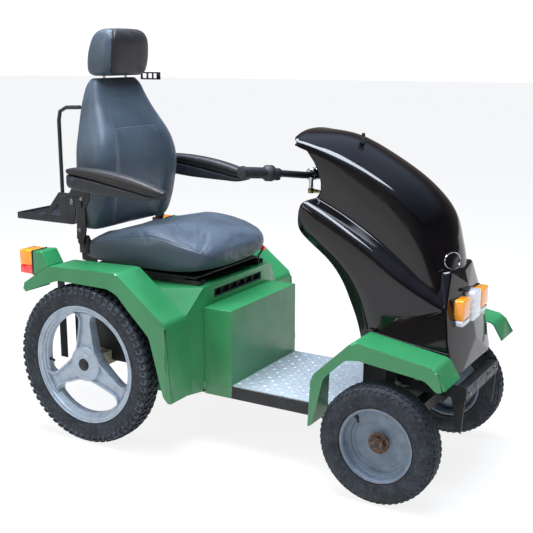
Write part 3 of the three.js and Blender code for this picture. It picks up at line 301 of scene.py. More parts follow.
def wheel_silver(name, base):
    """Cast aluminium sprayed silver: soft sparkle, pitted skin and grime near the hub."""
    constants = {"Metallic": 0.25, "Coat Weight": 0.25, "Coat Roughness": 0.3}
    material, tree, shader, where = surface(name, constants)
    grimy = tuple(0.62 * v for v in base[:3]) + (1.0,)
    vary_colour(tree, shader, where, base, grimy, 28, 0.5, 0.85, 6)
    vary_roughness(tree, shader, where, 0.34, 0.5, 18)
    raise_surface(tree, shader, grain(tree, where, 2.6), 0.12, 0.6)
    return material


def pressed_wheel(name):
    """Grey painted pressed steel: brown rust along the rolled lip, dull face inside it."""
    material, tree, shader, where = surface(name, {"IOR": 1.5, "Metallic": 0.1})
    tone = vary_colour(tree, shader, where, linear("#7b8a99"), linear("#66737f"), 30, 0.4, 0.75)
    from_axle = {"Vector": where, "Location": (-FRONT_AXLE.x, 0.0, -FRONT_AXLE.z)}
    shift = add_node(tree, "Mapping", from_axle).outputs["Vector"]
    flat = add_node(tree, "VectorMath", {0: shift, 1: (1.0, 0.0, 1.0)}, operation="MULTIPLY")
    reach = add_node(tree, "VectorMath", {0: flat.outputs["Vector"]}, operation="LENGTH")
    near_lip = spread(tree, reach.outputs["Value"], mm(111), mm(114.5))
    patchy = spread(tree, spots_of(tree, where, 16, 6.0), 0.42, 0.6)
    blend_colour(tree, shader, times(tree, near_lip, patchy), tone, linear("#6f4b38"))
    vary_roughness(tree, shader, where, 0.38, 0.55, 20)
    raise_surface(tree, shader, grain(tree, where, 3), 0.15, 0.5)
    return material


def vinyl(name, base, second):
    """Vinyl upholstery: pebbled leather grain, a soft sheen and paler worn crowns."""
    constants = {"IOR": 1.47, "Sheen Weight": 0.15, "Sheen Roughness": 0.4}
    material, tree, shader, where = surface(name, constants)
    vary_colour(tree, shader, where, base, second, 120, 0.35, 0.68, 5)
    vary_roughness(tree, shader, where, 0.4, 0.55, 35)
    # The real pebbles are about 1 mm; 2.6 mm is the finest that shows.
    pebbles = raise_surface(tree, shader, grain(tree, where, 2.6, "TexVoronoi"), 0.35, 0.55)
    raise_surface(tree, shader, grain(tree, where, 22), 1.2, 0.25, pebbles)
    return material


def lens(name, base, second, rib_mm=0.0):
    """Moulded acrylic lens: bright, clear over a pale reflector, with fluting inside; part of the
    brightness is a faint painted glow in the lens's own colour.
    """
    constants = {"Roughness": 0.12, "IOR": 1.49, "Coat Weight": 0.8, "Coat Roughness": 0.05}
    constants |= {"Subsurface Weight": 0.25, "Subsurface Scale": 0.02}
    # Painted glow: a faint emission in the lens colour stands in for light passing through; no lamp is
    # lit.
    constants |= {"Emission Color": base, "Emission Strength": 0.12}
    material, tree, shader, where = surface(name, constants)
    if not rib_mm:
        vary_colour(tree, shader, where, base, second, 14)
        raise_surface(tree, shader, grain(tree, where, 6), 0.1, 0.4)
        return material
    across = add_node(tree, "SeparateXYZ", {"Vector": where}).outputs["Y"]
    wave = times(tree, across, 2 * math.pi * 1000 / rib_mm)
    curve = add_node(tree, "Math", {0: wave}, operation="SINE")
    share = spread(tree, curve.outputs[0], -1.0, 1.0)
    blend_colour(tree, shader, share, base, second)
    raise_surface(tree, shader, share, 0.5, 0.6)
    return material


MATERIALS = {}


def make_materials():
    """Every finish on the scooter, named for what the real one is."""
    black = linear("#17181a")
    MATERIALS.update(
        green=gel_coat("green gel coat", colour("body"), linear("#237a46")),
        gloss=gloss_coat("black gloss coat", colour("cowl")),
        satin=moulded_plastic("black moulded plastic", black, linear("#212327")),
        arm=moulded_plastic("grey moulded plastic", linear("#252a31"), linear("#1e2227"), (0.38, 0.52)),
        powder=powder_coat("black powder coat", linear("#15171a"), linear("#23262a"),
                           dusty=linear("#4a453c")),
        cream=powder_coat("cream enamel", linear("#d6ceb6"), linear("#a89f86")),
        tyre=tyre_rubber("tyre rubber"),
        # The C-shaped knobs get a paler, bluer rubber with more dust: partly dust, partly a painted
        # highlight for the light their edges catch.
        tyre_worn=tyre_rubber("tyre knobs", "#3a4148", "#565f69", 0.5),
        silver=wheel_silver("silver wheel paint", colour("wheels")),
        wheel=pressed_wheel("grey wheel paint"),
        plate=bare_metal("chequer aluminium", linear("#d3dde2"), (0.42, 0.6), 18, metallic=0.55),
        steel=bare_metal("bright steel", linear("#8f959b"), (0.3, 0.5)),
        chrome=bare_metal("chrome plate", linear("#d6dade"), (0.05, 0.16), 8, 0.05),
        brass=bare_metal("dull brass", linear("#9a8f66"), (0.3, 0.5), 8),
        rust=rusty_steel("rusty steel"),
        vinyl=vinyl("seat vinyl", colour("vinyl"), linear("#465461")),
        # Near-black vinyl: the arm pads' own colour, and painted shade on the headrest's front.
        vinyl_dark=vinyl("near-black vinyl and painted headrest shade", linear("#161517"), linear("#1d1b1d")),
        rubber=moulded_plastic("grip rubber", linear("#1a1c20"), linear("#26292e"), (0.5, 0.7), 2.2,
                               0.2),
        amber=lens("amber lens", colour("amber"), linear("#ffb53a"), 7.0),
        amber_plain=lens("amber rear lens", colour("amber"), linear("#ffab28")),
        red=lens("red lens", linear("#f5202a"), linear("#ff5a55")),
        clear=lens("clear lens", linear("#cfd7dc"), linear("#eef2f4")),
        # The red knob uses the lens finish, so it carries the same faint painted glow though it is no
        # lamp.
        knob=lens("red knob", linear("#d3141c"), linear("#e8262c")),
    )


# ---- mesh helpers ----------------------------------------------------------------------------
def finish_piece(name, mesh_in_work, material, body, replaces=(), sharp=35, weighted=False):
    """Turn a finished bmesh into a piece that rides on a body."""
    mesh = bpy.data.meshes.new(name)
    mesh_in_work.to_mesh(mesh)
    mesh_in_work.free()
    mesh.materials.append(MATERIALS[material])
    piece = bpy.data.objects.new(name, mesh)
    bpy.context.scene.collection.objects.link(piece)
    mesh.shade_smooth()
    mesh.set_sharp_from_angle(angle=math.radians(sharp))
    if weighted:
        level = piece.modifiers.new("Weighted normals", "WEIGHTED_NORMAL")
        level.keep_sharp = True
    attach(piece, body)
    if replaces:
        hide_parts(*([replaces] if isinstance(replaces, str) else replaces))
    return piece


def round_edges(work, edges, radius, segments, clamp=True):
    """Round a set of edges; `clamp` stops neighbours from running into each other."""
    bmesh.ops.bevel(work, geom=edges, offset=radius, affect="EDGES", segments=segments, profile=0.5,
                    material=-1, clamp_overlap=clamp)


def sweep(work, rows, closed=True, caps=True):
    """Skin through rows of points: the first row is extruded on to each of the next."""
    row = [work.verts.new(point) for point in rows[0]]
    pairs = list(zip(row, row[1:])) + ([(row[-1], row[0])] if closed else [])
    edges = [work.edges.new(pair) for pair in pairs]
    made = [row]
    ends = [edges]
    for points in rows[1:]:
        grown = set(bmesh.ops.extrude_edge_only(work, edges=edges)["geom"])
        row = [
            next(e.other_vert(v) for e in v.link_edges if e.other_vert(v) in grown) for v in row
        ]
        for vert, point in zip(row, points):
            vert.co = point
        pairs = list(zip(row, row[1:])) + ([(row[-1], row[0])] if closed else [])
        edges = [work.edges.get(pair) for pair in pairs]
        made.append(row)
    ends.append(edges)
    if caps and closed:
        for loop in ends:
            bmesh.ops.edgeloop_fill(work, edges=loop)
    return made


def outward(work):
    """Close the seams and point every face out."""
    bmesh.ops.remove_doubles(work, verts=work.verts, dist=1e-6)
    bmesh.ops.recalc_face_normals(work, faces=work.faces)
    return work


def smooth_rows(rows, steps):
    """Rows between the given rows, on a curve through each of their points."""
    dense = []
    for i in range(len(rows) - 1):
        quad = [rows[max(i - 1, 0)], rows[i], rows[i + 1], rows[min(i + 2, len(rows) - 1)]]
        for step in range(steps):
            t = step / steps
            dense.append([catmull(t, *points) for points in zip(*quad)])
    dense.append(list(rows[-1]))
    return dense


def catmull(t, a, b, c, d):
    """Point on the smooth curve from b to c."""
    return 0.5 * (2 * b + (c - a) * t + (2 * a - 5 * b + 4 * c - d) * t * t
                  + (3 * b - a - 3 * c + d) * t**3)


def smooth_line(points, steps):
    """Smooth line through a few points."""
    return [row[0] for row in smooth_rows([[p] for p in points], steps)]


def tube(work, path, radius, sides=16, caps=True):
    """Round bar along a line of points; `radius` may be a function of the share of the way."""
    tangent = (path[1] - path[0]).normalized()
    side = tangent.orthogonal().normalized()
    rows = []
    for i, point in enumerate(path):
        ahead = path[min(i + 1, len(path) - 1)] - path[max(i - 1, 0)]
        turn = tangent.rotation_difference(ahead.normalized())
        side = (turn @ side).normalized()
        tangent = ahead.normalized()
        up = tangent.cross(side)
        size = radius(i / (len(path) - 1)) if callable(radius) else radius
        angles = [2 * math.pi * k / sides for k in range(sides)]
        rows.append([point + size * (math.cos(a) * side + math.sin(a) * up) for a in angles])
    sweep(work, rows, True, caps)


def bent_path(points, bend, steps=6):
    """Straight runs joined by round bends."""
    path = [points[0]]
    for before, corner, after in zip(points, points[1:], points[2:]):
        start = corner + (before - corner).normalized() * bend
        end = corner + (after - corner).normalized() * bend
        for step in range(steps + 1):
            t = step / steps
            path.append(start * (1 - t) ** 2 + corner * 2 * t * (1 - t) + end * t * t)
    return path + [points[-1]]


def turned(work, profile, centre, steps=64, axis=(0, 1, 0), side=1):
    """Profile of (radius, distance along the axis) in millimetres, spun about the axis."""
    axis = Vector(axis)
    across = axis.orthogonal().normalized()
    points = [centre + across * mm(r) + axis * side * mm(along) for r, along in profile]
    verts = [work.verts.new(p) for p in points]
    edges = [work.edges.new(pair) for pair in zip(verts, verts[1:])]
    bmesh.ops.spin(work, geom=verts + edges, cent=centre, axis=axis, angle=2 * math.pi, steps=steps,
                   use_merge=True)


def cone(work, matrix, wide, narrow, depth, sides):
    """Closed round or many-sided block: its two diameters and its depth in millimetres."""
    bmesh.ops.create_cone(work, cap_ends=True, segments=sides, radius1=mm(wide) / 2,
                          radius2=mm(narrow) / 2, depth=mm(depth), matrix=matrix)


def block(work, centre, size, turn=None, ease=0.0, taper=1.0, segments=2):
    """Box of a size in millimetres with eased edges; `taper` narrows its top."""
    matrix = Matrix.Translation(centre) @ (turn or Matrix()) @ Matrix.Diagonal((*[mm(s) for s in size],
                                                                                1))
    verts = bmesh.ops.create_cube(work, size=1.0, matrix=matrix)["verts"]
    if taper != 1.0:
        middle = sum((v.co for v in verts), Vector()) / 8
        up = (matrix.to_3x3() @ Vector((0, 0, 1))).normalized()
        top = [v for v in verts if (v.co - middle).dot(up) > 0]
        crown = sum((v.co for v in top), Vector()) / len(top)
        for vert in top:
            vert.co = crown + (vert.co - crown) * taper
    if ease:
        round_edges(work, list({e for v in verts for e in v.link_edges}), mm(ease), segments)


def facing(axis):
    """Rotation that turns +Z to a direction."""
    return Vector((0, 0, 1)).rotation_difference(Vector(axis).normalized()).to_matrix().to_4x4()


def bolt(work, place, axis, across=10, height=5, washer=16):
    """Hexagon bolt head on a washer."""
    turn = facing(axis)
    for sides, wide, low, high, top in (
        (20, washer, 0, 1.6, 0.96),
        (6, across * 1.15, 1.6, height, 1.0),
        (6, across * 1.15, height, height + 1.2, 0.78),
    ):
        matrix = Matrix.Translation(place) @ turn @ Matrix.Translation((0, 0, mm(low + high) / 2))
        cone(work, matrix, wide, wide * top, high - low, sides)


def cad_copy(node):
    """Working copy of a CAD node with its flat faces made whole."""
    work = bmesh.new()
    work.from_mesh(NODES[node].data)
    bmesh.ops.remove_doubles(work, verts=work.verts, dist=1e-5)
    bmesh.ops.dissolve_limit(
        work, angle_limit=math.radians(0.6), verts=work.verts, edges=work.edges
    )
    return work


def strip_width(face):
    """Rough width of a face: small for the cut edge of a thin wall."""
    return 2 * face.calc_area() / face.calc_perimeter()


def ease_edges(work, fold, rim, wall=5.5, from_angle=8, segments=3):
    """Round the outer folds of a moulding, then just break its cut edges."""
    for radius, steps, chosen in (
        (fold, segments, lambda e: min(strip_width(f) for f in e.link_faces) > mm(wall)),
        (rim, 1, lambda e: e.calc_face_angle() > math.radians(40)),
    ):
        if not radius:
            continue
        least = math.radians(from_angle)
        folds = [e for e in work.edges if len(e.link_faces) == 2 and e.is_convex
                 and e.calc_face_angle() > least]
        round_edges(work, [e for e in folds if chosen(e)], radius, steps, radius == rim)
    return work


def eased_node(node, name, material, body, fold=7.0, rim=1.2, wall=5.5, from_angle=8, segments=3,
               sharp=35):
    """Piece that stands for a CAD node with its folds rounded."""
    work = ease_edges(cad_copy(node), mm(fold), mm(rim), wall, from_angle, segments)
    return finish_piece(name, work, material, body, node, sharp=sharp, weighted=True)


def dress(nodes, material):
    """Give CAD nodes that keep their own shape a finish."""
    for node in nodes:
        for slot in NODES[node].material_slots:
            slot.material = MATERIALS[material]


# ---- wheels ----------------------------------------------------------------------------------
def axle_centre(which, side):
    """Middle of a wheel."""
    low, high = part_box(f"{which}_tyre_{side}")
    return (low + high) / 2


def ring_of_blocks(work, centre, count, radius, y_mm, size, lean=0.0, start=0.0, taper=0.85, tip=0.0):
    """Tread blocks in a row round a wheel; `lean` turns each in its own plane."""
    for i in range(count):
        angle = 2 * math.pi * (i + start) / count
        out = Vector((math.cos(angle), 0, math.sin(angle)))
        frame_of_block = Matrix((out.cross(Vector((0, 1, 0))), Vector((0, 1, 0)), out)).transposed()
        turn = frame_of_block.to_4x4() @ Matrix.Rotation(tip, 4, "X") @ Matrix.Rotation(lean, 4, "Z")
        place = centre + out * mm(radius) + Vector((0, mm(y_mm), 0))
        block(work, place, size, turn, taper=taper)


class SCOOTER_OT_rear_tyres(bpy.types.Operator):
    """Build the knobbly rear tyres"""

    bl_idname = "scooter.rear_tyres"
    bl_label = "Rear tyres"

    def execute(self, context):
        depth = sizes().rear_lug * 1000
        crown = REAR_RADIUS * 1000 - 0.6
        base = crown - depth
        for name, _ in SIDES:
            centre = axle_centre("rear", name)
            work = bmesh.new()
            wall = [
                (196.5, 24), (205, 26.5), (208, 30.2), (212, 32), (215, 31.8), (219, 34), (232, 36.6),
                (244, 36.8), (base - 12, 35), (base - 4, 31.5), (base - 0.6, 26), (base, 14),
            ]
            profile = wall + [(r, -y) for r, y in reversed(wall)]
            turned(work, profile, centre, 120)
            count = sizes().rear_lugs
            middle = crown - depth / 2
            for half in (-1, 1):
                ring_of_blocks(work, centre, count, middle, half * 7.6, (15, 11, depth + 1.6),
                               half * 0.3, 0.25 * half, 0.92)
                ring_of_blocks(work, centre, count, middle - 1.6, half * 21.5, (14, 11, depth + 2.6),
                               half * -0.2, 0.5, 0.9, half * -0.2)
            knobs = bmesh.new()
            for half in (-1, 1):
                # Each C-shaped knob is two bars and the upright that joins them.
                for along, radius, level, size in ((0, 264.5, 33.6, (16, 5, 4.8)),
                                                   (-5.8, 256.5, 35.0, (4.8, 5, 17)),
                                                   (0, 248.5, 36.0, (13, 4.4, 4.4))):
                    start = 0.5 + along / 1620 * count
                    ring_of_blocks(knobs, centre, count, radius, half * level, size, 0, start, 0.9,
                                   half * -0.16)
            finish_piece(f"rear_tyre_knobs_{name}", outward(knobs), "tyre_worn", f"rear_{name}_wheel",
                         sharp=32)
            finish_piece(f"rear_tyre_tread_{name}", outward(work), "tyre", f"rear_{name}_wheel",
                         f"rear_tyre_{name}", sharp=32)
        return {"FINISHED"}


class SCOOTER_OT_front_tyres(bpy.types.Operator):
    """Build the ribbed front tyres"""

    bl_idname = "scooter.front_tyres"
    bl_label = "Front tyres"

    def execute(self, context):
        depth = sizes().front_lug * 1000
        crown = FRONT_RADIUS * 1000 - 0.6
        for name, _ in SIDES:
            centre = axle_centre("front", name)
            work = bmesh.new()
            wall = [(108, 30), (116, 31.5), (118.5, 37), (124, 39.4), (127, 39.0), (133, 42.2),
                    (146, 44.4), (158, 44.0), (168, 40), (175, 34.5), (178.5, 28.6),
                    (178.5 - depth, 27.6), (180 - depth, 23.4), (180.2, 22.4), (crown - 0.8, 12.6),
                    (crown - depth, 11.8), (crown - depth, 8.8), (crown, 8.0)]
            profile = wall + [(r, -y) for r, y in reversed(wall)]
            turned(work, profile, centre, 112)
            count = sizes().front_lugs
            for half in (-1, 1):
                ring_of_blocks(work, centre, count, 171.5, half * 36.2, (12, 12, 6), half * 0.5, 0.0,
                               0.8, half * -0.72)
                ring_of_blocks(work, centre, count, 178.2, half * 25.6, (12, 8, 5.5), half * -0.6, 0.5,
                               0.9, half * -0.2)
                ring_of_blocks(work, centre, count, 179.6, half * 10.4, (11, 6.5, 4.2), half * 0.6,
                               0.25, 0.9)
            finish_piece(f"front_tyre_tread_{name}", outward(work), "tyre", f"front_{name}_wheel",
                         f"front_tyre_{name}", sharp=32)
        return {"FINISHED"}


# Half-width of a cast spoke from the hub to the rim, and its reach along the axle: (radius,
# half-width, half-depth).
SPOKE = [(46, 41, 20), (62, 37, 19), (86, 32.5, 18), (110, 28.5, 17), (134, 25, 16.5), (152, 24, 17),
         (164, 29, 18.5), (171, 37, 20), (176, 48, 21)]


def add_spoke(work, centre, angle):
    """Cast spoke: a channel with a rib along each edge."""
    turn = Matrix.Translation(centre) @ Matrix.Rotation(angle, 4, "Y")
    rows = []
    for radius, half, deep in SPOKE:
        pocket = min(9.0, (radius - 44) * 0.6, (184 - radius) * 0.7)
        edge = [(-half, deep - 1), (-half + 1, deep), (-half + 6, deep), (-half + 8.5, deep - pocket)]
        top = edge + [(-x, y) for x, y in reversed(edge)]
        ring = top + [(-x, -y) for x, y in top]
        rows.append([turn @ Vector((mm(x), mm(y), mm(radius))) for x, y in ring])
    sweep(work, smooth_rows(rows, 3))


class SCOOTER_OT_rear_wheels(bpy.types.Operator):
    """Build the cast three-spoke rear wheels"""

    bl_idname = "scooter.rear_wheels"
    bl_label = "Rear wheels"

    def execute(self, context):
        for name, side in SIDES:
            centre = axle_centre("rear", name)
            body = f"rear_{name}_wheel"
            work = bmesh.new()
            half = [(173.5, 2), (173.5, 9.5), (174.5, 11), (178, 11.6), (179.4, 13), (179.8, 18.5),
                    (181.2, 20), (185.2, 20.6), (186.4, 22), (186.8, 26.2), (188.4, 27.8), (193, 27.8),
                    (194.6, 26.8), (197.4, 26.8), (198.4, 28), (199.4, 29.4), (203, 29.4),
                    (203.9, 28.2), (203.9, 26.4), (196.3, 25.4)]
            turned(work, half + [(r, -y) for r, y in reversed(half)] + [half[0]], centre, 128)
            hub = [
                (0, -35), (22, -35), (22, -26), (50, -24), (58, -20), (61, -12), (61, 12), (60, 19),
                (55, 22.4), (46, 23.6), (44, 22.6), (34, 22.8), (31, 25.5), (22, 26), (0, 26),
            ]
            turned(work, hub, centre, 64, side=side)
            for i in range(3):
                add_spoke(work, centre, 2 * math.pi * i / 3)
            outward(work)
            finish_piece(f"rear_wheel_casting_{name}", work, "silver", body, f"rear_rim_{name}",
                         40)
            cap = bmesh.new()
            turned(cap, [(0, 33.5), (12, 33.2), (18, 31.2), (20.6, 28), (21, 25)], centre, 40, side=side)
            finish_piece(f"rear_hub_cap_{name}", outward(cap), "satin", body)
            valve = bmesh.new()
            foot = centre + Matrix.Rotation(math.radians(-95), 3, "Y") @ Vector((0, 0, mm(174)))
            inward = (centre - foot).normalized()
            lean = (inward + Vector((0, side * 0.5, 0))).normalized()
            elbow = foot + inward * mm(5)
            path = [foot - inward * mm(2), foot + inward * mm(4), elbow]
            path += [elbow + lean * mm(reach) for reach in (14, 14.5, 26)]
            tube(valve, path, lambda t: mm(5.5) if t < 0.3 else mm(3.2) if t < 0.7 else mm(4.2), 12)
            finish_piece(f"rear_valve_{name}", outward(valve), "rubber", body)
        return {"FINISHED"}


class SCOOTER_OT_front_wheels(bpy.types.Operator):
    """Build the pressed-steel front wheels with their rusty nuts"""

    bl_idname = "scooter.front_wheels"
    bl_label = "Front wheels"

    def execute(self, context):
        barrel = [(107, -31), (113, -32), (115, -33.6), (114.4, -35), (110.5, -35), (107.5, -33.4),
                  (104.6, -29), (104, 4), (104, 8), (104.6, 29), (107.5, 33.4), (110.5, 35),
                  (114.4, 35), (115, 33.6), (113, 32), (107, 31), (106.6, 0), (107, -31)]
        dish = [(104.5, 12), (101.5, 10), (100, 6.5), (97, 4.5), (93.5, 4), (91.5, 1.5), (90, -2),
                (87, -3.6), (83.6, -4), (81.5, -6.5), (77, -8), (52, -8.8), (34, -8.4), (30, -6),
                (27, -5), (25, -5), (24, -2), (24, 4), (11, 4)]
        behind = [(11, -34), (24, -34), (24, -11), (34, -12), (78, -11.5), (104.5, 7)]
        for name, side in SIDES:
            centre = axle_centre("front", name)
            body = f"front_{name}_wheel"
            work = bmesh.new()
            turned(work, barrel, centre, 96, side=side)
            turned(work, dish + behind + [dish[0]], centre, 96, side=side)
            finish_piece(f"front_wheel_pressing_{name}", outward(work), "wheel", body,
                         f"front_rim_{name}", 38)
            valve = bmesh.new()
            foot = centre + Matrix.Rotation(math.radians(-42), 3, "Y") @ Vector((0, 0, mm(104)))
            inward = (centre - foot).normalized()
            foot += Vector((0, side * mm(20), 0))
            path = [foot + inward * mm(reach) + Vector((0, side * mm(out), 0))
                    for reach, out in ((0, 0), (9, 0), (14, 4), (20, 9))]
            tube(valve, path, lambda t: mm(6) if t < 0.4 else mm(4), 12)
            finish_piece(f"front_valve_{name}", outward(valve), "rubber", body)
            nut = bmesh.new()
            out = Vector((0, side, 0))
            spin = Matrix.Rotation(math.radians(12), 4, "Z")
            for sides, wide, narrow, low, high in (
                (40, 65, 65, 4.8, 8.6), (40, 52, 50, 8.6, 11.4),
                (6, 47, 47, 11.4, 21.6), (6, 47, 40, 21.6, 23.6),
            ):
                matrix = Matrix.Translation(centre + out * mm((low + high) / 2)) @ facing(out) @ spin
                cone(nut, matrix, wide, narrow, high - low, sides)
            finish_piece(f"axle_nut_{name}", nut, "rust", f"{name}_knuckle", sharp=30)
        dress(["knuckle_right", "knuckle_left"], "powder")
        return {"FINISHED"}


# ---- body ------------------------------------------------------------------------------------
def bolts(name, places, material="powder", body="chassis", across=11):
    """Row of bolt heads; each place is (x, y, z, axis)."""
    work = bmesh.new()
    for x, y, z, axis in places:
        bolt(work, at(x, y, z), axis, across)
    return finish_piece(name, work, material, body, sharp=30)


REAR_FENDER = [(-712, 494), (-722, 520), (-660, 560), (-597, 598), (-310, 606), (-124, 462), (-105, 203)]
REAR_SKIRT = [(-132, 216), (-184, 412), (-267, 492), (-308, 535), (-348, 551), (-555, 553), (-600, 538)]
FRONT_FENDER = [(343, 195), (349, 353), (483, 482), (735, 441), (768, 386)]
FRONT_SKIRT = [(744, 371), (706, 403), (505, 427), (461, 422), (391, 355), (352, 195)]
LAMP_POD = [(-667, 556), (-664, 642), (-626, 645), (-597, 596)]
REAR_FENDER_Y = (291.6, 415)  # inner and outer edge
FRONT_FENDER_Y = (206, 329)
MOULDING_WALL = 4  # thickness of the glass fibre


def moulding(name, work, node, aim, fold=None, sharp=30):
    """Glass-fibre moulding: the outer skin in `work` with its folds rounded, and a wall behind it."""
    radius = sizes().fold if fold is None else mm(fold)
    folds = [e for e in work.edges if len(e.link_faces) == 2 and e.calc_face_angle() > math.radians(12)]
    if radius:
        round_edges(work, folds, radius, 4)
    bmesh.ops.recalc_face_normals(work, faces=work.faces)
    facing_way = sum((f.normal * f.calc_area() for f in work.faces), Vector())
    if facing_way.dot(Vector(aim)) < 0:
        bmesh.ops.reverse_faces(work, faces=work.faces)
    piece = finish_piece(name, work, "green", "chassis", node, sharp)
    wall = piece.modifiers.new("Wall", "SOLIDIFY")
    wall.thickness = mm(MOULDING_WALL)
    wall.offset = -1
    rim = piece.modifiers.new("Cut edge", "BEVEL")
    rim.limit_method = "ANGLE"
    rim.angle_limit = math.radians(50)
    rim.width = sizes().rim_edge
    rim.segments = 2
    shade = piece.modifiers.new("Weighted normals", "WEIGHTED_NORMAL")
    shade.keep_sharp = True
    return piece


def flat_face(work, points):
    """Face through points, sharing the corners that are already there."""
    verts = []
    for point in points:
        same = [v for v in work.verts if (v.co - point).length < 1e-6]
        verts.append(same[0] if same else work.verts.new(point))
    return work.faces.new(verts)


def fender(line, edge, inner, outer, side):
    """Skin that follows a bent line and the skirt that hangs from its outer edge."""
    work = bmesh.new()
    top = bent_path([at(x, side * outer, z) for x, z in line], mm(13), 4)
    hem = bent_path([top[-1]] + [at(x, side * outer, z) for x, z in edge] + [top[0]], mm(12), 3)
    rim = [work.verts.new(p) for p in top]
    wing = [work.verts.new(Vector((p.x, at(0, side * inner, 0).y, p.z))) for p in top]
    for a, b, c, d in zip(rim, rim[1:], wing[1:], wing):
        work.faces.new((a, b, c, d))
    work.faces.new(rim + [work.verts.new(p) for p in hem[1:-1]])
    return work


def fender_fold(work, side, outer, radius):
    """Round only the long fold between a fender's skin and its skirt."""
    level = at(0, side * outer, 0).y
    edges = [e for e in work.edges if len(e.link_faces) == 2
             and all(abs(v.co.y - level) < 1e-5 for v in e.verts)]
    round_edges(work, edges, radius, 4, clamp=False)


class SCOOTER_OT_mouldings(bpy.types.Operator):
    """Round the folds of the green mouldings and bolt them on"""

    bl_idname = "scooter.mouldings"
    bl_label = "Green mouldings"

    def execute(self, context):
        fold = sizes().fold
        self.seat_box()
        self.battery_cover()
        for name, side in SIDES:
            aim = (0, side, 1)
            work = fender(REAR_FENDER, REAR_SKIRT, *REAR_FENDER_Y, side)
            fender_fold(work, side, REAR_FENDER_Y[1], fold)
            moulding(f"rear_fender_moulding_{name}", work, f"rear_fender_{name}", aim, 0)
            work = fender(FRONT_FENDER, FRONT_SKIRT, *FRONT_FENDER_Y, side)
            fender_fold(work, side, FRONT_FENDER_Y[1], fold)
            moulding(f"front_fender_moulding_{name}", work, f"front_fender_{name}", aim, 0)
            pod = bmesh.new()
            rows = [[at(x, side * y, z) for x, z in LAMP_POD] for y in (335, 414.6)]
            sweep(pod, rows)
            bmesh.ops.recalc_face_normals(pod, faces=pod.faces)
            round_edges(pod, pod.edges[:], mm(5), 3)
            piece = finish_piece(f"lamp_pod_{name}", pod, "green", "chassis",
                                 sharp=30, weighted=True)
            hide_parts(f"rear_fender_{name}")
        out = [Vector((0, side, 0)) for _, side in SIDES]
        bolts("body_bolts", [(-122, y.y * 225, 525, y) for y in out]
              + [(-112, y.y * 219, 190, y) for y in out])
        for name, side in SIDES:
            # Black sheet inside the wheel arch: painted shade, with some dirt, where the arch wall falls
            # in shadow behind the wheel.
            shade_board = bmesh.new()
            for x0, x1, z0, z1 in ((-598, -300, 262, 545), (-672, -640, 236, 556)):
                block(shade_board, at((x0 + x1) / 2, side * 292.6, (z0 + z1) / 2), (x1 - x0, 2, z1 - z0))
            finish_piece(f"arch_painted_shade_{name}", shade_board, "satin", "chassis")
        # A faint ridge runs round the foot of the battery cover, level with the floor.
        ridge = bmesh.new()
        path = bent_path([at(-104, -218.2, 224), at(0, -218.2, 224), at(0, 218.2, 224),
                          at(-104, 218.2, 224)], mm(8), 5)
        tube(ridge, path, mm(2.0), 8)
        finish_piece("cover_ridge", outward(ridge), "green", "chassis")
        dress(["vent_insert"], "satin")
        return {"FINISHED"}

    def seat_box(self):
        work = bmesh.new()
        front, half, wide, vent = -106.4, 218, 291, 153
        top, foot = 543, 186
        for side in (-1, 1):
            edge = [at(front, side * half, z) for z in (foot, 463, 495, 525, top)]
            shoulder = at(-126, side * wide, 462)
            corner = at(-228, side * wide, top)
            heel = at(-133, side * wide, foot)
            arch = [at(x, side * wide, z) for x, z in ((-600, top), (-600, 345), (-300, 345),
                                                       (-300, foot))]
            flat_face(work, [*edge, shoulder, heel])
            flat_face(work, [edge[-1], corner, shoulder])
            flat_face(work, [heel, shoulder, corner, *arch])
            beside_vent = ((half, 495), (half, 525), (vent, 525), (vent, 495))
            flat_face(work, [at(front, side * y, z) for y, z in beside_vent])
        for z, end in ((525, top), (495, 463)):
            ring = [(-half, z), (-vent, z), (vent, z), (half, z), (half, end), (-half, end)]
            flat_face(work, [at(front, y, level) for y, level in ring])
        lid = ((front, -half), (front, half), (-228, wide), (-600, wide), (-600, -wide), (-228, -wide))
        flat_face(work, [at(x, y, top) for x, y in lid])
        tail = ((-wide, top), (wide, top), (wide, 345), (-wide, 345))
        flat_face(work, [at(-600, y, z) for y, z in tail])
        moulding("seat_box_moulding", work, "seat_box", (0, 0, 1))

    def battery_cover(self):
        work = bmesh.new()
        half, top, sill, foot = 218.5, 477, 217, 179
        flat_face(work, [at(0, -half, sill), at(0, half, sill), at(0, half, top), at(0, -half, top)])
        flat_face(work, [at(0, -half, top), at(0, half, top), at(-106, half, top), at(-106, -half, top)])
        for side in (-1, 1):
            flat_face(work, [at(0, side * half, foot), at(0, side * half, sill), at(0, side * half, top),
                             at(-106, side * half, top), at(-106, side * half, foot)])
        moulding("battery_cover_moulding", work, "battery_cover", (1, 0, 1))


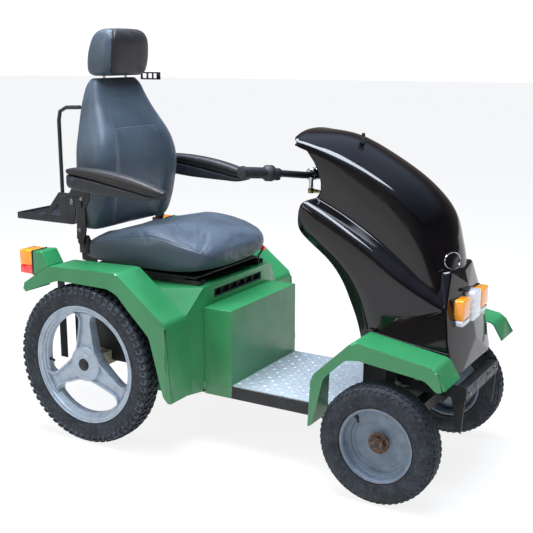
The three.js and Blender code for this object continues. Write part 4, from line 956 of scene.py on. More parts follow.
class SCOOTER_OT_floor(bpy.types.Operator):
    """Build the chequer-plate floor and its black edge"""

    bl_idname = "scooter.floor"
    bl_label = "Floor"

    def execute(self, context):
        work = ease_edges(cad_copy("footplate"), mm(0.8), 0)
        low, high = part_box("footplate")
        mark = sizes().chequer
        pitch = mark * 1.16
        rows = int((high.x - low.x) / pitch) + 1
        columns = int((high.y - low.y) / pitch)
        middle = (low + high) / 2
        for i in range(rows):
            for j in range(-columns // 2, columns // 2 + 1):
                place = Vector((low.x + (i + 0.55) * pitch, middle.y + j * pitch, high.z))
                back = (place.x - COVER_FRONT) * 1000
                reach = 208 if back < 330 else 196 if back < 350 else 168
                if abs(place.y) > mm(reach) or place.x > high.x - mark * 0.5:
                    continue
                lean = math.radians(45 if (i + j) % 2 else -45)
                matrix = Matrix.Translation(place) @ Matrix.Rotation(lean, 4,
                                                                     "Z") @ Matrix.Diagonal((mark / 2,
                                                                                             mark / 5,
                                                                                             mm(1.0), 1))
                bmesh.ops.create_cone(work, cap_ends=True, segments=8, radius1=1.0, radius2=0.55,
                                      depth=2.0, matrix=matrix)
        finish_piece("chequer_plate", work, "plate", "chassis", "footplate", 40)
        eased_node("floor_surround", "floor_edge", "satin", "chassis", 2.0, 0.6, wall=3.5)
        return {"FINISHED"}


def mm_box(node):
    """Middle of a CAD node's box, and the box's size in millimetres."""
    low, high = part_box(node)
    return (low + high) / 2, tuple((high - low) * 1000)


LAMPS_BACK = 20  # the nose lamps sit this far behind their CAD boxes


class SCOOTER_OT_lamps(bpy.types.Operator):
    """Build the lamps at the rear pods and on the nose"""

    bl_idname = "scooter.lamps"
    bl_label = "Lamps"

    def execute(self, context):
        for name, _ in SIDES:
            low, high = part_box(f"rear_lamp_{name}")
            split = low.z + (high.z - low.z) * 0.36
            for part, z0, z1, material in (("red", low.z, split, "red"),
                                           ("amber", split, high.z, "amber_plain")):
                work = bmesh.new()
                size = ((high.x - low.x) * 1000 - 5, (high.y - low.y) * 1000, (z1 - z0) * 1000 - 0.4)
                centre = Vector(((low.x + high.x) / 2 - mm(2.5), (low.y + high.y) / 2, (z0 + z1) / 2))
                block(work, centre, size, ease=5, segments=3)
                for k in range(1, 4):
                    place = centre + Vector((-mm(size[0] / 2 - 0.6), 0, (k - 2) * mm(size[2] / 4)))
                    block(work, place, (2.2, size[1] - 14, 1.6), ease=0.5, segments=1)
                piece = finish_piece(f"rear_lens_{part}_{name}", work, material, "chassis",
                                     sharp=40)
                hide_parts(f"rear_lamp_{name}")
            gasket = bmesh.new()
            middle, (_, wide, tall) = mm_box(f"rear_lamp_{name}")
            block(gasket, Vector((high.x - mm(2.6), middle.y, middle.z)), (5, wide + 3, tall + 3),
                  ease=2)
            finish_piece(f"rear_lamp_gasket_{name}", gasket, "rubber", "chassis")

            low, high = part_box(f"front_indicator_{name}")
            split = low.z + (high.z - low.z) * 0.24
            for part, z0, z1, material in (("clear", low.z, split, "clear"),
                                           ("amber", split, high.z, "amber")):
                work = bmesh.new()
                size = ((high.x - low.x) * 1000 + 8, (high.y - low.y) * 1000 - 6, (z1 - z0) * 1000 - 0.5)
                centre = Vector(((low.x + high.x) / 2 - mm(14), (low.y + high.y) / 2, (z0 + z1) / 2))
                block(work, centre, size, ease=6, segments=3)
                piece = finish_piece(f"indicator_lens_{part}_{name}", work, material, "chassis",
                                     sharp=40)
                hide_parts(f"front_indicator_{name}")
            base = bmesh.new()
            middle, (_, wide, tall) = mm_box(f"front_indicator_{name}")
            block(base, Vector((low.x - mm(LAMPS_BACK), middle.y, middle.z)), (14, wide, tall + 2),
                  ease=2)
            finish_piece(f"indicator_base_{name}", base, "satin", "chassis")

        work = bmesh.new()
        centre, size = mm_box("headlamp")
        centre.x -= mm(LAMPS_BACK)
        block(work, centre, size, ease=7, segments=4)
        for y, z in ((-24, 32), (24, -32)):
            screw = centre + Vector((mm(size[0]) / 2, mm(y), mm(z)))
            matrix = Matrix.Translation(screw) @ facing((1, 0, 0))
            cone(work, matrix, 6.8, 5.6, 2, 16)
        finish_piece("headlamp_lens", work, "clear", "chassis", "headlamp", 40)
        stub = bmesh.new()
        block(stub, at(712, -28, 604), (24, 40, 7), ease=1.5)
        tube(stub, [at(712, -46, 607), at(712, -60, 607)], mm(4), 12)
        finish_piece("headlamp_bracket", stub, "powder", "chassis")
        return {"FINISHED"}


# Stations along the cowl, from the rider's end to the nose, each with five places (x, half
# width, z): lower edge, ledge, waist, upper crease and crown.
COWL = [
    [(228, 190, 812), (243, 198, 850), (272, 152, 861), (200, 168, 1037), (184, 0, 1060)],
    [(244, 200, 760), (338, 200, 805), (366, 150, 815), (315, 162, 996), (320, 0, 1045)],
    [(338, 200, 684), (448, 200, 737), (472, 150, 751), (430, 152, 947), (454, 0, 983)],
    [(384, 200, 628), (552, 197, 661), (551, 150, 692), (535, 146, 880), (572, 0, 908)],
    [(414, 199, 566), (606, 189, 622), (608, 148, 644), (605, 136, 806), (652, 0, 824)],
    [(438, 199, 506), (664, 172, 585), (652, 144, 612), (640, 120, 735), (684, 0, 722)],
    [(452, 198, 452), (700, 160, 568), (676, 138, 592), (664, 112, 664), (696, 0, 651)],
]
COWL_STEPS = 6


def cowl_row(foot, ledge, waist, crease, crown, hollow=0.0):
    """Half of one cross-section, from the lower edge to the middle of the crown.

    `hollow` draws the flank forward between the waist and the crease, which cuts the mouth."""
    points = [foot, foot.lerp(ledge, 0.35), foot.lerp(ledge, 0.7), ledge]
    points[1] += Vector((0, mm(2.5), 0))
    points[2] += Vector((0, mm(2.5), 0))
    points += [ledge.lerp(waist, 0.5) + Vector((0, 0, mm(1.5))), waist]
    for share in (0.12, 0.28, 0.45, 0.62, 0.8, 0.93):
        bow = math.sin(math.pi * share)
        points.append(waist.lerp(crease, share) + Vector((hollow * bow ** 0.6, mm(5) * bow, 0)))
    points.append(crease)
    for k in range(1, 8):
        share = k / 8
        rise = 1 - (1 - share) ** 2.1
        point = crease.lerp(crown, rise)
        point.y = crease.y * (1 - share)
        points.append(point)
    return points + [crown]


LEDGE, WAIST, CREASE = 3, 5, 12


class SCOOTER_OT_cowl(bpy.types.Operator):
    """Build the black cowl, its nose, trim and clamp"""

    bl_idname = "scooter.cowl"
    bl_label = "Cowl"

    def execute(self, context):
        stations = [[at(*p) for p in station] for station in COWL]
        for station in stations:
            for point in station:
                point.y = abs(point.y)
        rows = []
        for i, places in enumerate(smooth_rows(stations, COWL_STEPS)):
            half = cowl_row(*places, mm(44) * max(1 - i / (2 * COWL_STEPS), 0) ** 1.5)
            mirrored = [Vector((p.x, -p.y, p.z)) for p in half]
            rows.append(mirrored + list(reversed(half[:-1])))
        work = bmesh.new()
        made = sweep(work, rows, closed=False)
        last = len(made[0]) - 1
        columns = {"edge": [], "waist": []}
        for k in (LEDGE, CREASE, WAIST, last - LEDGE, last - CREASE, last - WAIST):
            kind = "waist" if k in (WAIST, last - WAIST) else "edge"
            columns[kind] += [work.edges.get((a[k], b[k])) for a, b in zip(made, made[1:])]
        for kind, radius in (("edge", sizes().hood_edge), ("waist", mm(5))):
            round_edges(work, columns[kind], radius, 4, clamp=False)
        bmesh.ops.recalc_face_normals(work, faces=work.faces)
        hood = finish_piece("cowl_hood", work, "gloss", "chassis", "front_cowl", 50)
        wall = hood.modifiers.new("Wall", "SOLIDIFY")
        wall.thickness = mm(MOULDING_WALL)
        wall.offset = -1 if self.points_out(hood) else 1

        nose = bmesh.new()
        outline = [(690, 96, 668), (668, 112, 660), (690, 136, 590), (700, 160, 566), (716, 180, 470),
                   (738, 168, 374), (748, 124, 374), (722, 84, 520), (560, 190, 520), (452, 198, 430),
                   (640, 196, 392), (560, 110, 660)]
        for x, y, z in outline:
            for side in (-1, 1):
                nose.verts.new(at(x, side * y, z))
        nose.verts.new(at(700, 0, 655))
        nose.verts.new(at(714, 0, 610))
        nose.verts.new(at(744, 0, 450))
        bmesh.ops.convex_hull(nose, input=nose.verts)
        bmesh.ops.delete(nose, geom=[v for v in nose.verts if not v.link_faces], context="VERTS")
        bmesh.ops.dissolve_limit(nose, angle_limit=math.radians(2), verts=nose.verts, edges=nose.edges)
        edges = [e for e in nose.edges if min(v.co.x for v in e.verts) > at(660, 0, 0).x
                 and e.calc_face_angle() > 0.1]
        round_edges(nose, edges, mm(16), 5)
        finish_piece("cowl_nose", nose, "gloss", "chassis", sharp=50, weighted=True)

        trim = bmesh.new()
        for side in (-1, 1):
            for drop in (0, 9):
                along = ((470, 200, 482), (492, 201, 479), (610, 199, 460), (722, 184, 441))
                path = smooth_line([at(x, side * y, z - drop) for x, y, z in along], 5)
                tube(trim, path, mm(2.2), 10)
        finish_piece("cowl_trim", outward(trim), "satin", "chassis", sharp=60)

        badge = bmesh.new()
        skin = BVHTree.FromPolygons([v.co for v in hood.data.vertices],
                                    [p.vertices for p in hood.data.polygons])
        centre = at(682, -60, 692)
        loop = []
        for angle in [2 * math.pi * k / 48 for k in range(48)]:
            across = Vector((0.27, 0.96, 0)) * mm(38) * math.cos(angle)
            rise = Vector((-0.2, 0, 0.98)) * mm(25) * math.sin(angle)
            near, normal = skin.find_nearest(centre + across + rise)[:2]
            loop.append(near + (normal if normal.x > 0 else -normal) * mm(1))
        tube(badge, loop + loop[:1], mm(1.8), 8, caps=False)
        finish_piece("nose_badge", outward(badge), "chrome", "chassis", sharp=60)

        clamp = bmesh.new()
        foot = at(372, -38, 1002)
        stem = [(0, 0), (17, 0), (17, 4), (13, 8), (7, 9), (6.5, 26), (9, 28), (9, 34), (6, 36),
                (5, 51), (0, 52)]
        turned(clamp, stem, foot, 24, (0, 0, 1))
        tube(clamp, [foot + Vector((0, 0, mm(31))), foot + Vector((mm(6), -mm(12), mm(31)))], mm(4), 12)
        wing = foot + Vector((mm(8), -mm(17), mm(31)))
        turned(clamp, [(0, -5), (9, -5), (10, -2), (10, 4), (7, 7), (0, 7)], wing, 20)
        finish_piece("hood_clamp_screw", outward(clamp), "powder", "chassis", "hood_clamp",
                     40)

        shield = cad_copy("leg_shield")
        eased = [e for e in shield.edges if len(e.link_faces) == 2 and 0.05 < e.calc_face_angle() < 0.9]
        round_edges(shield, eased, mm(20), 5, clamp=False)
        finish_piece("leg_shield_panel", shield, "satin", "chassis", "leg_shield", 40)
        return {"FINISHED"}

    @staticmethod
    def points_out(hood):
        """True when the hood's skin faces outward."""
        middle = sum((v.co for v in hood.data.vertices), Vector()) / len(hood.data.vertices)
        score = sum((p.center - middle).dot(p.normal) * p.area for p in hood.data.polygons)
        return score > 0


# ---- upholstery ------------------------------------------------------------------------------
def squared_ring(centre, across, up, squareness, count=72, below=None):
    """Ring of a rounded rectangle; `across` and `up` are its half-axes, and `below` is the
    squareness of the half away from `up`."""
    points = []
    for i in range(count):
        angle = 2 * math.pi * (i + 0.5) / count
        power = 2 / (below if below and math.sin(angle) < 0 else squareness)
        wide = math.copysign(abs(math.cos(angle)) ** power, math.cos(angle))
        tall = math.copysign(abs(math.sin(angle)) ** power, math.sin(angle))
        points.append(centre + across * wide + up * tall)
    return points


def ramp(value, low, high):
    """0 below low, 1 above high, smooth between."""
    share = min(max((value - low) / (high - low), 0.0), 1.0)
    return share * share * (3 - 2 * share)


def evaluated(piece):
    """The piece's mesh with its modifiers applied."""
    graph = bpy.context.evaluated_depsgraph_get()
    return bpy.data.meshes.new_from_object(piece.evaluated_get(graph))


def apply_modifier(piece, kind, **settings):
    """Add one modifier with its settings and apply it."""
    made = piece.modifiers.new(kind.title(), kind)
    for key, value in settings.items():
        setattr(made, key, value)
    mesh = evaluated(piece)
    piece.modifiers.clear()
    old = piece.data
    piece.data = mesh
    bpy.data.meshes.remove(old)


def near_any(points):
    """Distance from a place to the nearest of many points."""

    tree = KDTree(len(points))
    for i, point in enumerate(points):
        tree.insert(point, i)
    tree.balance()
    return lambda place: tree.find(place)[2]


def dense_line(points, step=2.0):
    """Points every couple of millimetres along a line."""
    out = []
    for a, b in zip(points, points[1:]):
        count = max(1, int((b - a).length / mm(step)))
        out += [a.lerp(b, k / count) for k in range(count)]
    return out + [points[-1]]


def blow_up(piece, seams, still, swell):
    """Swell a pad under slight pressure, held along its seams and where it rests on something."""
    distance = near_any(seams)
    pins = piece.vertex_groups.new(name="pins")
    start = [v.co.copy() for v in piece.data.vertices]
    for i, place in enumerate(start):
        hold = max(1.0 - distance(place) / mm(9), still(place))
        if hold > 0:
            pins.add([i], min(hold, 1.0), "REPLACE")
    cloth = piece.modifiers.new("Cloth", "CLOTH")
    cloth.settings.vertex_group_mass = "pins"
    cloth.settings.use_pressure = True
    cloth.settings.uniform_pressure_force = 4.0
    cloth.settings.effector_weights.gravity = 0.0
    cloth.settings.quality = 4
    cloth.collision_settings.use_collision = False
    cloth.point_cache.frame_start = 1
    cloth.point_cache.frame_end = 20
    scene = bpy.context.scene
    for step in range(1, 21):
        scene.frame_set(step)
    mesh = evaluated(piece)
    scene.frame_set(1)
    piece.modifiers.clear()
    piece.vertex_groups.clear()
    for vert, begin in zip(mesh.vertices, start):
        move = vert.co - begin
        if move.length > swell:
            vert.co = begin + move * (swell / move.length)
    old = piece.data
    piece.data = mesh
    bpy.data.meshes.remove(old)


def sew(piece, seams, width=4.5, depth=2.2):
    """Pull the surface in along its seams."""
    mesh = piece.data
    tree = BVHTree.FromPolygons([v.co for v in mesh.vertices], [p.vertices for p in mesh.polygons])
    laid = [tree.find_nearest(p)[0] for p in seams]
    distance = near_any(laid)
    moves = []
    for vert in mesh.vertices:
        reach = distance(vert.co) / mm(width)
        moves.append(vert.normal * -mm(depth) * (1 - reach * reach) ** 2 if reach < 1 else None)
    for vert, move in zip(mesh.vertices, moves):
        if move is not None:
            vert.co += move
    mesh.update()


def pad(name, work, body, node, seams, still, voxel=6.0, swell=None, material="vinyl"):
    """Stuffed piece: an even skin, swollen, then sewn along its seams."""
    mesh = bpy.data.meshes.new(name)
    outward(work).to_mesh(mesh)
    work.free()
    piece = bpy.data.objects.new(name, mesh)
    bpy.context.scene.collection.objects.link(piece)
    apply_modifier(piece, "REMESH", mode="VOXEL", voxel_size=mm(voxel))
    line = [p for seam in seams for p in dense_line(seam)]
    blow_up(piece, line, still, swell or sizes().swell)
    apply_modifier(piece, "SMOOTH", factor=0.5, iterations=2)
    apply_modifier(piece, "SUBSURF", levels=1, render_levels=1)
    sew(piece, line)
    piece.data.materials.clear()
    piece.data.materials.append(MATERIALS[material])
    piece.data.shade_smooth()
    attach(piece, body)
    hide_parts(node)
    return piece


def upright_ring(x, y, low, high, half, squareness, count=72):
    """Ring that stands across the scooter, for a pad that runs fore and aft."""
    centre = at(x, y, (low + high) / 2)
    return squared_ring(centre, Vector((0, mm(half), 0)), Vector((0, 0, mm(high - low) / 2)),
                        squareness, count)


def level_ring(z, front, rear, half, squareness, below=None):
    """Ring that lies level, for a pad that stands up."""
    centre = at((front + rear) / 2, 0, z)
    return squared_ring(centre, Vector((0, mm(half), 0)), Vector((mm(front - rear) / 2, 0, 0)),
                        squareness, 72, below)


# Cushion sections from rear to front: x, underside, crown, half-width, squareness, dish.
CUSHION = [
    (-612, 592, 640, 203, 4, 0),
    (-604, 582, 650, 213, 5, 1),
    (-580, 577, 664, 219, 5.5, 4),
    (-540, 575, 676, 225, 5.5, 9),
    (-470, 574, 690, 234, 6, 14),
    (-400, 573, 703, 238, 6, 14),
    (-330, 572, 716, 240, 6, 8),
    (-260, 572, 716, 240, 5.5, 3),
    (-210, 573, 706, 238, 5, 0),
    (-160, 578, 692, 226, 4.2, 0),
    (-124, 590, 678, 200, 3.4, 0),
    (-100, 608, 664, 166, 2.8, 0),
    (-86, 628, 650, 112, 2.4, 0),
]
CUSHION_SEAM = [(-604, 212, 642), (-580, 219, 652), (-540, 219, 662), (-430, 236, 688),
                (-322, 240, 702), (-240, 238, 694), (-177, 228, 676), (-130, 200, 656)]

# Back sections from bottom to top: height, front, rear, half-width, dish between the bolsters.
BACK = [
    (690, -560, -612, 200, 0),
    (700, -545, -628, 212, 3),
    (750, -522, -634, 222, 12),
    (840, -500, -636, 226, 20),
    (919, -494, -636, 226, 22),
    (975, -502, -641, 216, 21),
    (1018, -516, -645, 200, 18),
    (1064, -542, -650, 181, 13),
    (1110, -568, -654, 162, 9),
    (1150, -586, -653, 146, 6),
    (1184, -597, -650, 130, 3),
    (1206, -610, -642, 110, 0),
]
BOLSTER_SHARE = 0.6  # where the seams run, as a share of the half-width
ARM_Y = 272


def back_front(height, share):
    """Place on the front of the backrest at a height and a share of its half-width."""
    for low, high in zip(BACK, BACK[1:]):
        if low[0] <= height <= high[0]:
            t = (height - low[0]) / (high[0] - low[0])
            row = [a + t * (b - a) for a, b in zip(low, high)]
            break
    _, front, _, half, dish = row
    return at(front - dish * (1 - ramp(abs(share), 0.52, 0.72)), share * half, height)


HEADREST = [
    (1214, -574, -650, 100),
    (1226, -558, -664, 117),
    (1258, -547, -665, 123),
    (1300, -541, -659, 122),
    (1340, -539, -647, 114),
    (1364, -549, -630, 100),
    (1375, -566, -606, 78),
]


class SCOOTER_OT_upholstery(bpy.types.Operator):
    """Build the seat cushion, the back, the headrest and the arm pads"""

    bl_idname = "scooter.upholstery"
    bl_label = "Upholstery"

    def execute(self, context):
        self.cushion()
        self.back()
        self.headrest()
        for name, side in SIDES:
            self.armrest(name, side)
        return {"FINISHED"}

    def cushion(self):
        rows = []
        for x, low, high, half, square, dish in CUSHION:
            ring = upright_ring(x, 0, low, high, half, square)
            for point in ring:
                if point.z > mm((low + high) / 2):
                    point.z -= mm(dish) * (1 - ramp(abs(point.y) / mm(half), 0.25, 0.8))
            rows.append(ring)
        work = bmesh.new()
        sweep(work, smooth_rows(rows, 5))
        seams = [smooth_line([at(x, side * y, z) for x, y, z in CUSHION_SEAM], 6) for _, side in SIDES]
        floor = mm(584)
        pad("seat_cushion_pad", work, "seat", "seat_cushion", seams, lambda p: 1.0 if p.z < floor
            else 0.0)

    def back(self):
        rows = []
        for z, front, rear, half, dish in BACK:
            ring = level_ring(z, front, rear, half, 4.5, 10)
            middle = at((front + rear) / 2, 0, 0).x
            for point in ring:
                if point.x > middle:
                    point.x -= mm(dish) * (1 - ramp(abs(point.y) / mm(half), 0.52, 0.72))
            rows.append(ring)
        work = bmesh.new()
        sweep(work, smooth_rows(rows, 5))
        heights = [712, 780, 850, 919, 980, 1038, 1090, 1140, 1184]
        seams = [[back_front(z, side * BOLSTER_SHARE) for z in heights] for _, side in SIDES]
        seams = [smooth_line(seam, 5) for seam in seams]
        seams.append([back_front(1038, -BOLSTER_SHARE + BOLSTER_SHARE * k / 6) for k in range(13)])
        rear = at(-622, 0, 0).x
        pad("backrest_pad", work, "back", "backrest", seams, lambda p: 1.0 if p.x < rear else 0.0)

    def headrest(self):
        rows = [level_ring(*section, 4.2) for section in HEADREST]
        work = bmesh.new()
        sweep(work, smooth_rows(rows, 6))
        seams = []
        for _, side in SIDES:
            front = [at(f - 1, side * h * 0.84, z) for z, f, _, h in HEADREST]
            rear = [at(r + 1, side * h * 0.84, z) for z, _, r, h in reversed(HEADREST)]
            seams.append(smooth_line(front + rear, 5))
        base = mm(1222)
        piece = pad("headrest_pad", work, "head", "headrest", seams, lambda p: 1.0 if p.z < base
                    else 0.0, 5.0, mm(8))
        # The front-facing faces inside the seams get the near-black vinyl: painted shade on the side
        # turned away from the light.
        piece.data.materials.append(MATERIALS["vinyl_dark"])
        for face in piece.data.polygons:
            place = face.center
            half = next((h for z, _, _, h in reversed(HEADREST) if mm(z) <= place.z), 96)
            if face.normal.x > 0.15 and abs(place.y) < mm(half * 0.84):
                face.material_index = 1

    def armrest(self, name, side):
        """Pad and shell: the rows run from the hinge end to the tip."""
        stations = [(-612, 893, 906, 20), (-606, 891, 911, 25), (-560, 887, 915, 27),
                    (-480, 876, 913, 27), (-400, 862, 905, 27), (-330, 850, 893, 26.5),
                    (-270, 840, 878, 25), (-230, 839, 865, 20), (-208, 842, 855, 11)]
        rows = [upright_ring(x, side * ARM_Y, low, high, half, 3.2, 40) for x, low, high,
                half in stations]
        work = bmesh.new()
        sweep(work, smooth_rows(rows, 4))
        seam = []
        for edge in (-1, 1):
            line = [at(x, side * ARM_Y + edge * half, low + 0.35 * (high - low)) for x, low, high,
                    half in stations]
            seam.append(smooth_line(line, 4))
        pad(f"armrest_padding_{name}", work, f"{name}_armrest", f"armrest_pad_{name}", seam,
            lambda p: 0.0, 4.0, mm(3), "vinyl_dark")
        shell = [
            (-609, 853, 890, 21), (-600, 845, 890, 24), (-560, 838, 886, 24), (-480, 831, 876, 24),
            (-400, 828, 863, 24), (-330, 826, 852, 23), (-272, 825, 841, 21), (-232, 833, 841, 14),
        ]
        rows = [upright_ring(x, side * ARM_Y, low, high, half, 5, 40) for x, low, high, half in shell]
        work = bmesh.new()
        sweep(work, smooth_rows(rows, 4))
        turned(work, [(0, 27.5), (15, 27.2), (17.5, 25.5), (18.5, 22)], at(-588, side * ARM_Y, 866), 32,
               side=side)
        turned(work, [(0, 28.4), (9, 28.2), (10, 26)], at(-588, side * ARM_Y, 866), 24, side=side)
        finish_piece(f"armrest_moulding_{name}", outward(work), "arm", f"{name}_armrest",
                     f"armrest_shell_{name}", 50)


# ---- seat metalwork and carrier --------------------------------------------------------------
class SCOOTER_OT_seat_metal(bpy.types.Operator):
    """Build the reclining frame's bolts, the slide latch, the headrest bracket and the carrier"""

    bl_idname = "scooter.seat_metal"
    bl_label = "Seat metalwork"

    def execute(self, context):
        dress(["seat_rails", "seat_pan", "back_frame"], "powder")
        dress(["headrest_frame"], "chrome")
        eased_node("rear_carrier", "rear_carrier_rack", "powder", "back", 0.8, 0, wall=0, from_angle=60,
                   segments=1, sharp=50)
        for name, side in SIDES:
            out = Vector((0, side, 0))
            heads = ((-644, 230.2, 792), (-600, 230.2, 800), (-640, 235.2, 784), (-612, 230.2, 690))
            places = [(x, side * y, z, out) for x, y, z in heads]
            bolts(f"recline_bolts_{name}", places, "steel", "back", 12)
            cover = bmesh.new()
            block(cover, at(-607, side * 217, 636), (44, 9, 62), ease=4)
            finish_piece(f"recline_cover_{name}", cover, "arm", "seat")
        work = bmesh.new()
        path = bent_path([at(-260, 160, 553), at(-121, 160, 553), at(-121, 160, 580),
                          at(-121, 190, 594)], mm(8))
        tube(work, path, mm(3.5), 12)
        finish_piece("slide_latch_rod", outward(work), "powder", "latch", "slide_latch",
                     50)
        knob = bmesh.new()
        bmesh.ops.create_uvsphere(knob, u_segments=24, v_segments=16, radius=mm(10),
                                  matrix=Matrix.Translation(at(-121, 190, 601)))
        finish_piece("slide_latch_knob", knob, "knob", "latch", "slide_latch", 60)

        arm = bmesh.new()
        for z, x0, x1 in ((1222, -600, -512), (1200, -600, -512)):
            block(arm, at((x0 + x1) / 2, 122, z), (x1 - x0, 4, 5), ease=1)
        for x, wide in ((-596, 8), (-570, 7), (-546, 6), (-520, 16)):
            block(arm, at(x, 122, 1211), (wide, 4.6, 26), ease=1)
        matrix = Matrix.Translation(at(-519, 119, 1211)) @ facing((0, -1, 0))
        cone(arm, matrix, 14, 12, 6, 20)
        finish_piece("headrest_bracket", arm, "powder", "head", sharp=40)
        return {"FINISHED"}


# ---- steering and controls -------------------------------------------------------------------
GRIP_FROM, GRIP_TO = (138, 128, 924), (97, 298, 943)


def along_grip(share, side):
    x, y, z = [a + share * (b - a) for a, b in zip(GRIP_FROM, GRIP_TO)]
    return at(x, side * y, z)


class SCOOTER_OT_controls(bpy.types.Operator):
    """Build the handlebar, grips and the controls on the dash"""

    bl_idname = "scooter.controls"
    bl_label = "Controls"

    def execute(self, context):
        dress(["steering_column", "column_mast", "front_axle_beam", "front_guard", "chassis_frame"],
              "powder")
        dress(["tie_rod"], "steel")
        bar = bmesh.new()
        right = [at(97, -298, 943), at(138, -128, 924), at(185, -45, 912)]
        left = [Vector((p.x, -p.y, p.z)) for p in reversed(right)]
        tube(bar, bent_path(right + left, mm(22), 8), mm(11), 24)
        finish_piece("handlebar_tube", outward(bar), "powder", "steering", "handlebar",
                     60)
        for name, side in SIDES:
            work = bmesh.new()
            centre = along_grip(0.4, side)
            along = (along_grip(1, side) - centre).normalized()
            length = (along_grip(1, side) - centre).length * 1000
            profile = [(12, -22), (22, -22), (25.2, -19), (25.4, -14), (21, -12.5), (21, -9),
                       (25, -7.5), (25.2, -1), (22.5, 4), (18.6, 8)]
            ribs = 11
            for k in range(ribs):
                start = 12 + k * (length - 20) / ribs
                pitch = (length - 20) / ribs
                profile += [(15.2, start), (15.2, start + pitch * 0.35), (17.4, start + pitch * 0.5),
                            (17.4, start + pitch * 0.85)]
            profile += [(16, length - 7), (19.6, length - 5), (20, length), (18.4, length + 6),
                        (14, length + 8.5), (0, length + 8.8)]
            turned(work, profile, centre, 40, along)
            body = "throttle_grip" if side < 0 else "steering"
            finish_piece(f"grip_sleeve_{name}", outward(work), "rubber", body, f"grip_{name}",
                         40)
        housing = self.housing(0.2, 1, [(12, -16), (17, -16), (19, -13)], (-10, 0, 14), (22, 24, 14))
        finish_piece("control_housing_case", outward(housing), "satin", "steering", "control_housing",
                     40)
        housing = self.housing(0.16, -1, [(11.5, -13), (15, -13), (16.5, -11)], (2, 0, -15),
                               (18, 20, 12))
        finish_piece("throttle_housing_case", outward(housing), "satin", "steering",
                     sharp=40)

        clamp = bmesh.new()
        half = [(11.6, -25), (18, -25), (21, -22), (21, -9), (17, -7)]
        turned(clamp, half + [(r, -y) for r, y in reversed(half)], at(185, 0, 912), 40)
        tube(clamp, [at(189, -30, 902), at(189, -30, 872)], mm(7), 20)
        tube(clamp, [at(189, -37, 904), at(189, -14, 904)], mm(8), 20)
        turned(clamp, [(0, -2), (10, -2), (11, 0), (11, 5), (9, 7), (0, 8)], at(189, -30, 903), 24,
               (0, 0, 1))
        finish_piece("handlebar_clamp", outward(clamp), "chrome", "steering", "bar_clamp", 45)
        link = bmesh.new()
        ends = [at(189, -30, 861.6), at(245, -10, 856)]
        path = [ends[0], *[ends[0].lerp(ends[1], share) for share in (0.25, 0.5, 0.75)], ends[1]]
        tube(link, path, lambda t: mm(5 + 2.5 * abs(2 * t - 1)), 20)
        for end in ends:
            turned(link, [(0, -8), (9, -8), (10, -6), (10, 6), (9, 8), (0, 8)], end, 28, (0, 0, 1))
        finish_piece("steering_link", outward(link), "brass", "steering", "column_link", 45)

        dress(["dash_panel"], "arm")
        eased_node("key_switch", "key_barrel", "chrome", "key", 0.8, 0, wall=0, from_angle=50,
                   segments=2, sharp=40)
        eased_node("speed_dial", "speed_knob", "satin", "dial", 0.8, 0, wall=0, from_angle=50,
                   segments=2, sharp=40)
        bolts("guard_bolts", [(772, y, 318, (1, 0, 0)) for y in (-130, -62, 62, 130)], "steel",
              "chassis", 11)
        return {"FINISHED"}

    @staticmethod
    def housing(share, side, half, offset, size):
        """Clamped collar on the handlebar with a block on it; `half` is half of its profile."""
        work = bmesh.new()
        centre = along_grip(share, side)
        along = (along_grip(1, side) - centre).normalized()
        turned(work, half + [(r, -y) for r, y in reversed(half)], centre, 32, along)
        block(work, centre + Vector([mm(v) for v in offset]), size, ease=3)
        return work


class SCOOTER_OT_running_gear(bpy.types.Operator):
    """Finish the axle, the motor and the batteries"""

    bl_idname = "scooter.running_gear"
    bl_label = "Running gear"

    def execute(self, context):
        dress(["rear_axle_casing"], "cream")
        dress(["drive_motor", "battery_right", "battery_left"], "satin")
        dress(["motor_controller"], "steel")
        return {"FINISHED"}


# ---- stage -----------------------------------------------------------------------------------
CAMERA_AZIMUTH = 30.25
CAMERA_PITCH = 12.915
CAMERA_LENS = 62.79


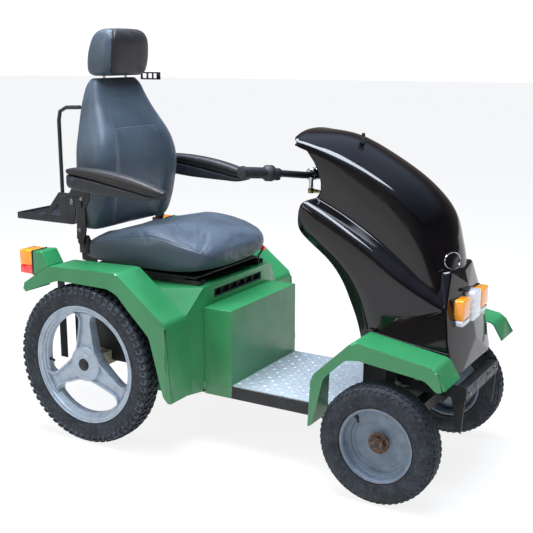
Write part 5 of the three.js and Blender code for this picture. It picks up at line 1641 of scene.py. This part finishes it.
class SCOOTER_OT_stage(bpy.types.Operator):
    """Build the pale floor, the soft lights and the camera"""

    bl_idname = "scooter.stage"
    bl_label = "Stage"

    def execute(self, context):
        scene = bpy.context.scene
        scene.view_settings.view_transform = "Standard"
        scene.view_settings.look = "None"
        camera = bpy.data.cameras.new("camera")
        camera.lens = CAMERA_LENS
        camera.sensor_width = 36
        holder = bpy.data.objects.new("camera", camera)
        holder.location = at(1558.06, -2661.19, 1290.86)
        holder.rotation_euler = (math.radians(90 - CAMERA_PITCH), 0, math.radians(CAMERA_AZIMUTH))
        scene.collection.objects.link(holder)
        scene.camera = holder

        work = bmesh.new()
        bmesh.ops.create_grid(work, x_segments=2, y_segments=2, size=40)
        mesh = bpy.data.meshes.new("floor")
        work.to_mesh(mesh)
        work.free()
        material, _, shader, _ = surface("pale floor", {"Roughness": 0.9, "Specular IOR Level": 0.1})
        shader.inputs["Base Color"].default_value = linear("#717171")
        shader.inputs["Emission Color"].default_value = (1, 1, 1, 1)
        shader.inputs["Emission Strength"].default_value = 0.86
        mesh.materials.append(material)
        floor = bpy.data.objects.new("floor", mesh)
        floor.location.z = -mm(0.3)
        scene.collection.objects.link(floor)

        for name, place, aim, size, power, tint in (
            ("overhead", (0.0, -0.2, 3.6), (0.1, 0, 0.4), (3.6, 1.4), 280, "#e9f1ff"),
            ("key", (-1.9, -3.6, 3.0), (0, 0, 0.5), (2.4, 1.8), 70, "#fff8ef"),
        ):
            light = bpy.data.lights.new(name, "AREA")
            light.shape = "RECTANGLE"
            light.size, light.size_y = size
            light.energy = power
            light.color = linear(tint)[:3]
            lamp = bpy.data.objects.new(name, light)
            lamp.location = place
            lamp.rotation_euler = (Vector(aim) - Vector(place)).to_track_quat("-Z", "Y").to_euler()
            scene.collection.objects.link(lamp)

        world = bpy.data.worlds.new("studio")
        world.use_nodes = True
        scene.world = world
        tree = world.node_tree
        back = tree.nodes["Background"]
        where = add_node(tree, "TexCoord").outputs["Generated"]
        height = add_node(tree, "SeparateXYZ", {"Vector": where}).outputs["Z"]
        colours = add_node(tree, "ValToRGB", {"Fac": height})
        stops = colours.color_ramp.elements
        stops[0].position, stops[0].color = 0.0, linear("#8a8480")
        stops[1].position, stops[1].color = 1.0, linear("#c9dcff")
        for position, tone in ((0.12, "#7d7570"), (0.45, "#544b47"), (0.66, "#b4c6e6")):
            stop = stops.new(position)
            stop.color = linear(tone)
        ahead = add_node(tree, "SeparateXYZ", {"Vector": where}).outputs["X"]
        dim = spread(tree, ahead, -0.1, 0.7, 1.0, 0.25)
        shaded = add_node(tree, "VectorMath", {0: colours.outputs["Color"], "Scale": dim},
                          operation="SCALE")
        white = add_node(tree, "MixRGB", {"Fac": add_node(tree, "LightPath").outputs["Is Camera Ray"],
                                          "Color1": shaded.outputs["Vector"],
                                          "Color2": (1.2, 1.2, 1.2, 1)})
        tree.links.new(white.outputs["Color"], back.inputs["Color"])
        back.inputs["Strength"].default_value = 0.9
        return {"FINISHED"}


# ---- panel and run ---------------------------------------------------------------------------
STEPS = (
    "stage",
    "rear_tyres",
    "front_tyres",
    "rear_wheels",
    "front_wheels",
    "mouldings",
    "floor",
    "lamps",
    "cowl",
    "upholstery",
    "seat_metal",
    "controls",
    "running_gear",
)


class SCOOTER_PT_build(bpy.types.Panel):
    """Sizes, colours and the pieces to build"""

    bl_idname = "SCOOTER_PT_build"
    bl_label = "Mobility scooter"
    bl_space_type = "VIEW_3D"
    bl_region_type = "UI"
    bl_category = "Scooter"

    def draw(self, context):
        layout = self.layout
        for group in (context.scene.scooter_sizes, context.scene.scooter_colours):
            for name in group.bl_rna.properties.keys():
                if name not in ("rna_type", "name"):
                    layout.prop(group, name)
        for step in STEPS:
            layout.operator(f"scooter.{step}")


CLASSES = (
    ScooterSizes,
    ScooterColours,
    SCOOTER_OT_stage,
    SCOOTER_OT_rear_tyres,
    SCOOTER_OT_front_tyres,
    SCOOTER_OT_rear_wheels,
    SCOOTER_OT_front_wheels,
    SCOOTER_OT_mouldings,
    SCOOTER_OT_floor,
    SCOOTER_OT_lamps,
    SCOOTER_OT_cowl,
    SCOOTER_OT_upholstery,
    SCOOTER_OT_seat_metal,
    SCOOTER_OT_controls,
    SCOOTER_OT_running_gear,
    SCOOTER_PT_build,
)


def register():
    for item in CLASSES:
        bpy.utils.register_class(item)
    bpy.types.Scene.scooter_sizes = PointerProperty(type=ScooterSizes)
    bpy.types.Scene.scooter_colours = PointerProperty(type=ScooterColours)


def unregister():
    del bpy.types.Scene.scooter_colours
    del bpy.types.Scene.scooter_sizes
    for item in reversed(CLASSES):
        bpy.utils.unregister_class(item)


def main():
    register()
    make_materials()
    for step in STEPS:
        getattr(bpy.ops.scooter, step)()


if __name__ == "__main__":
    main()
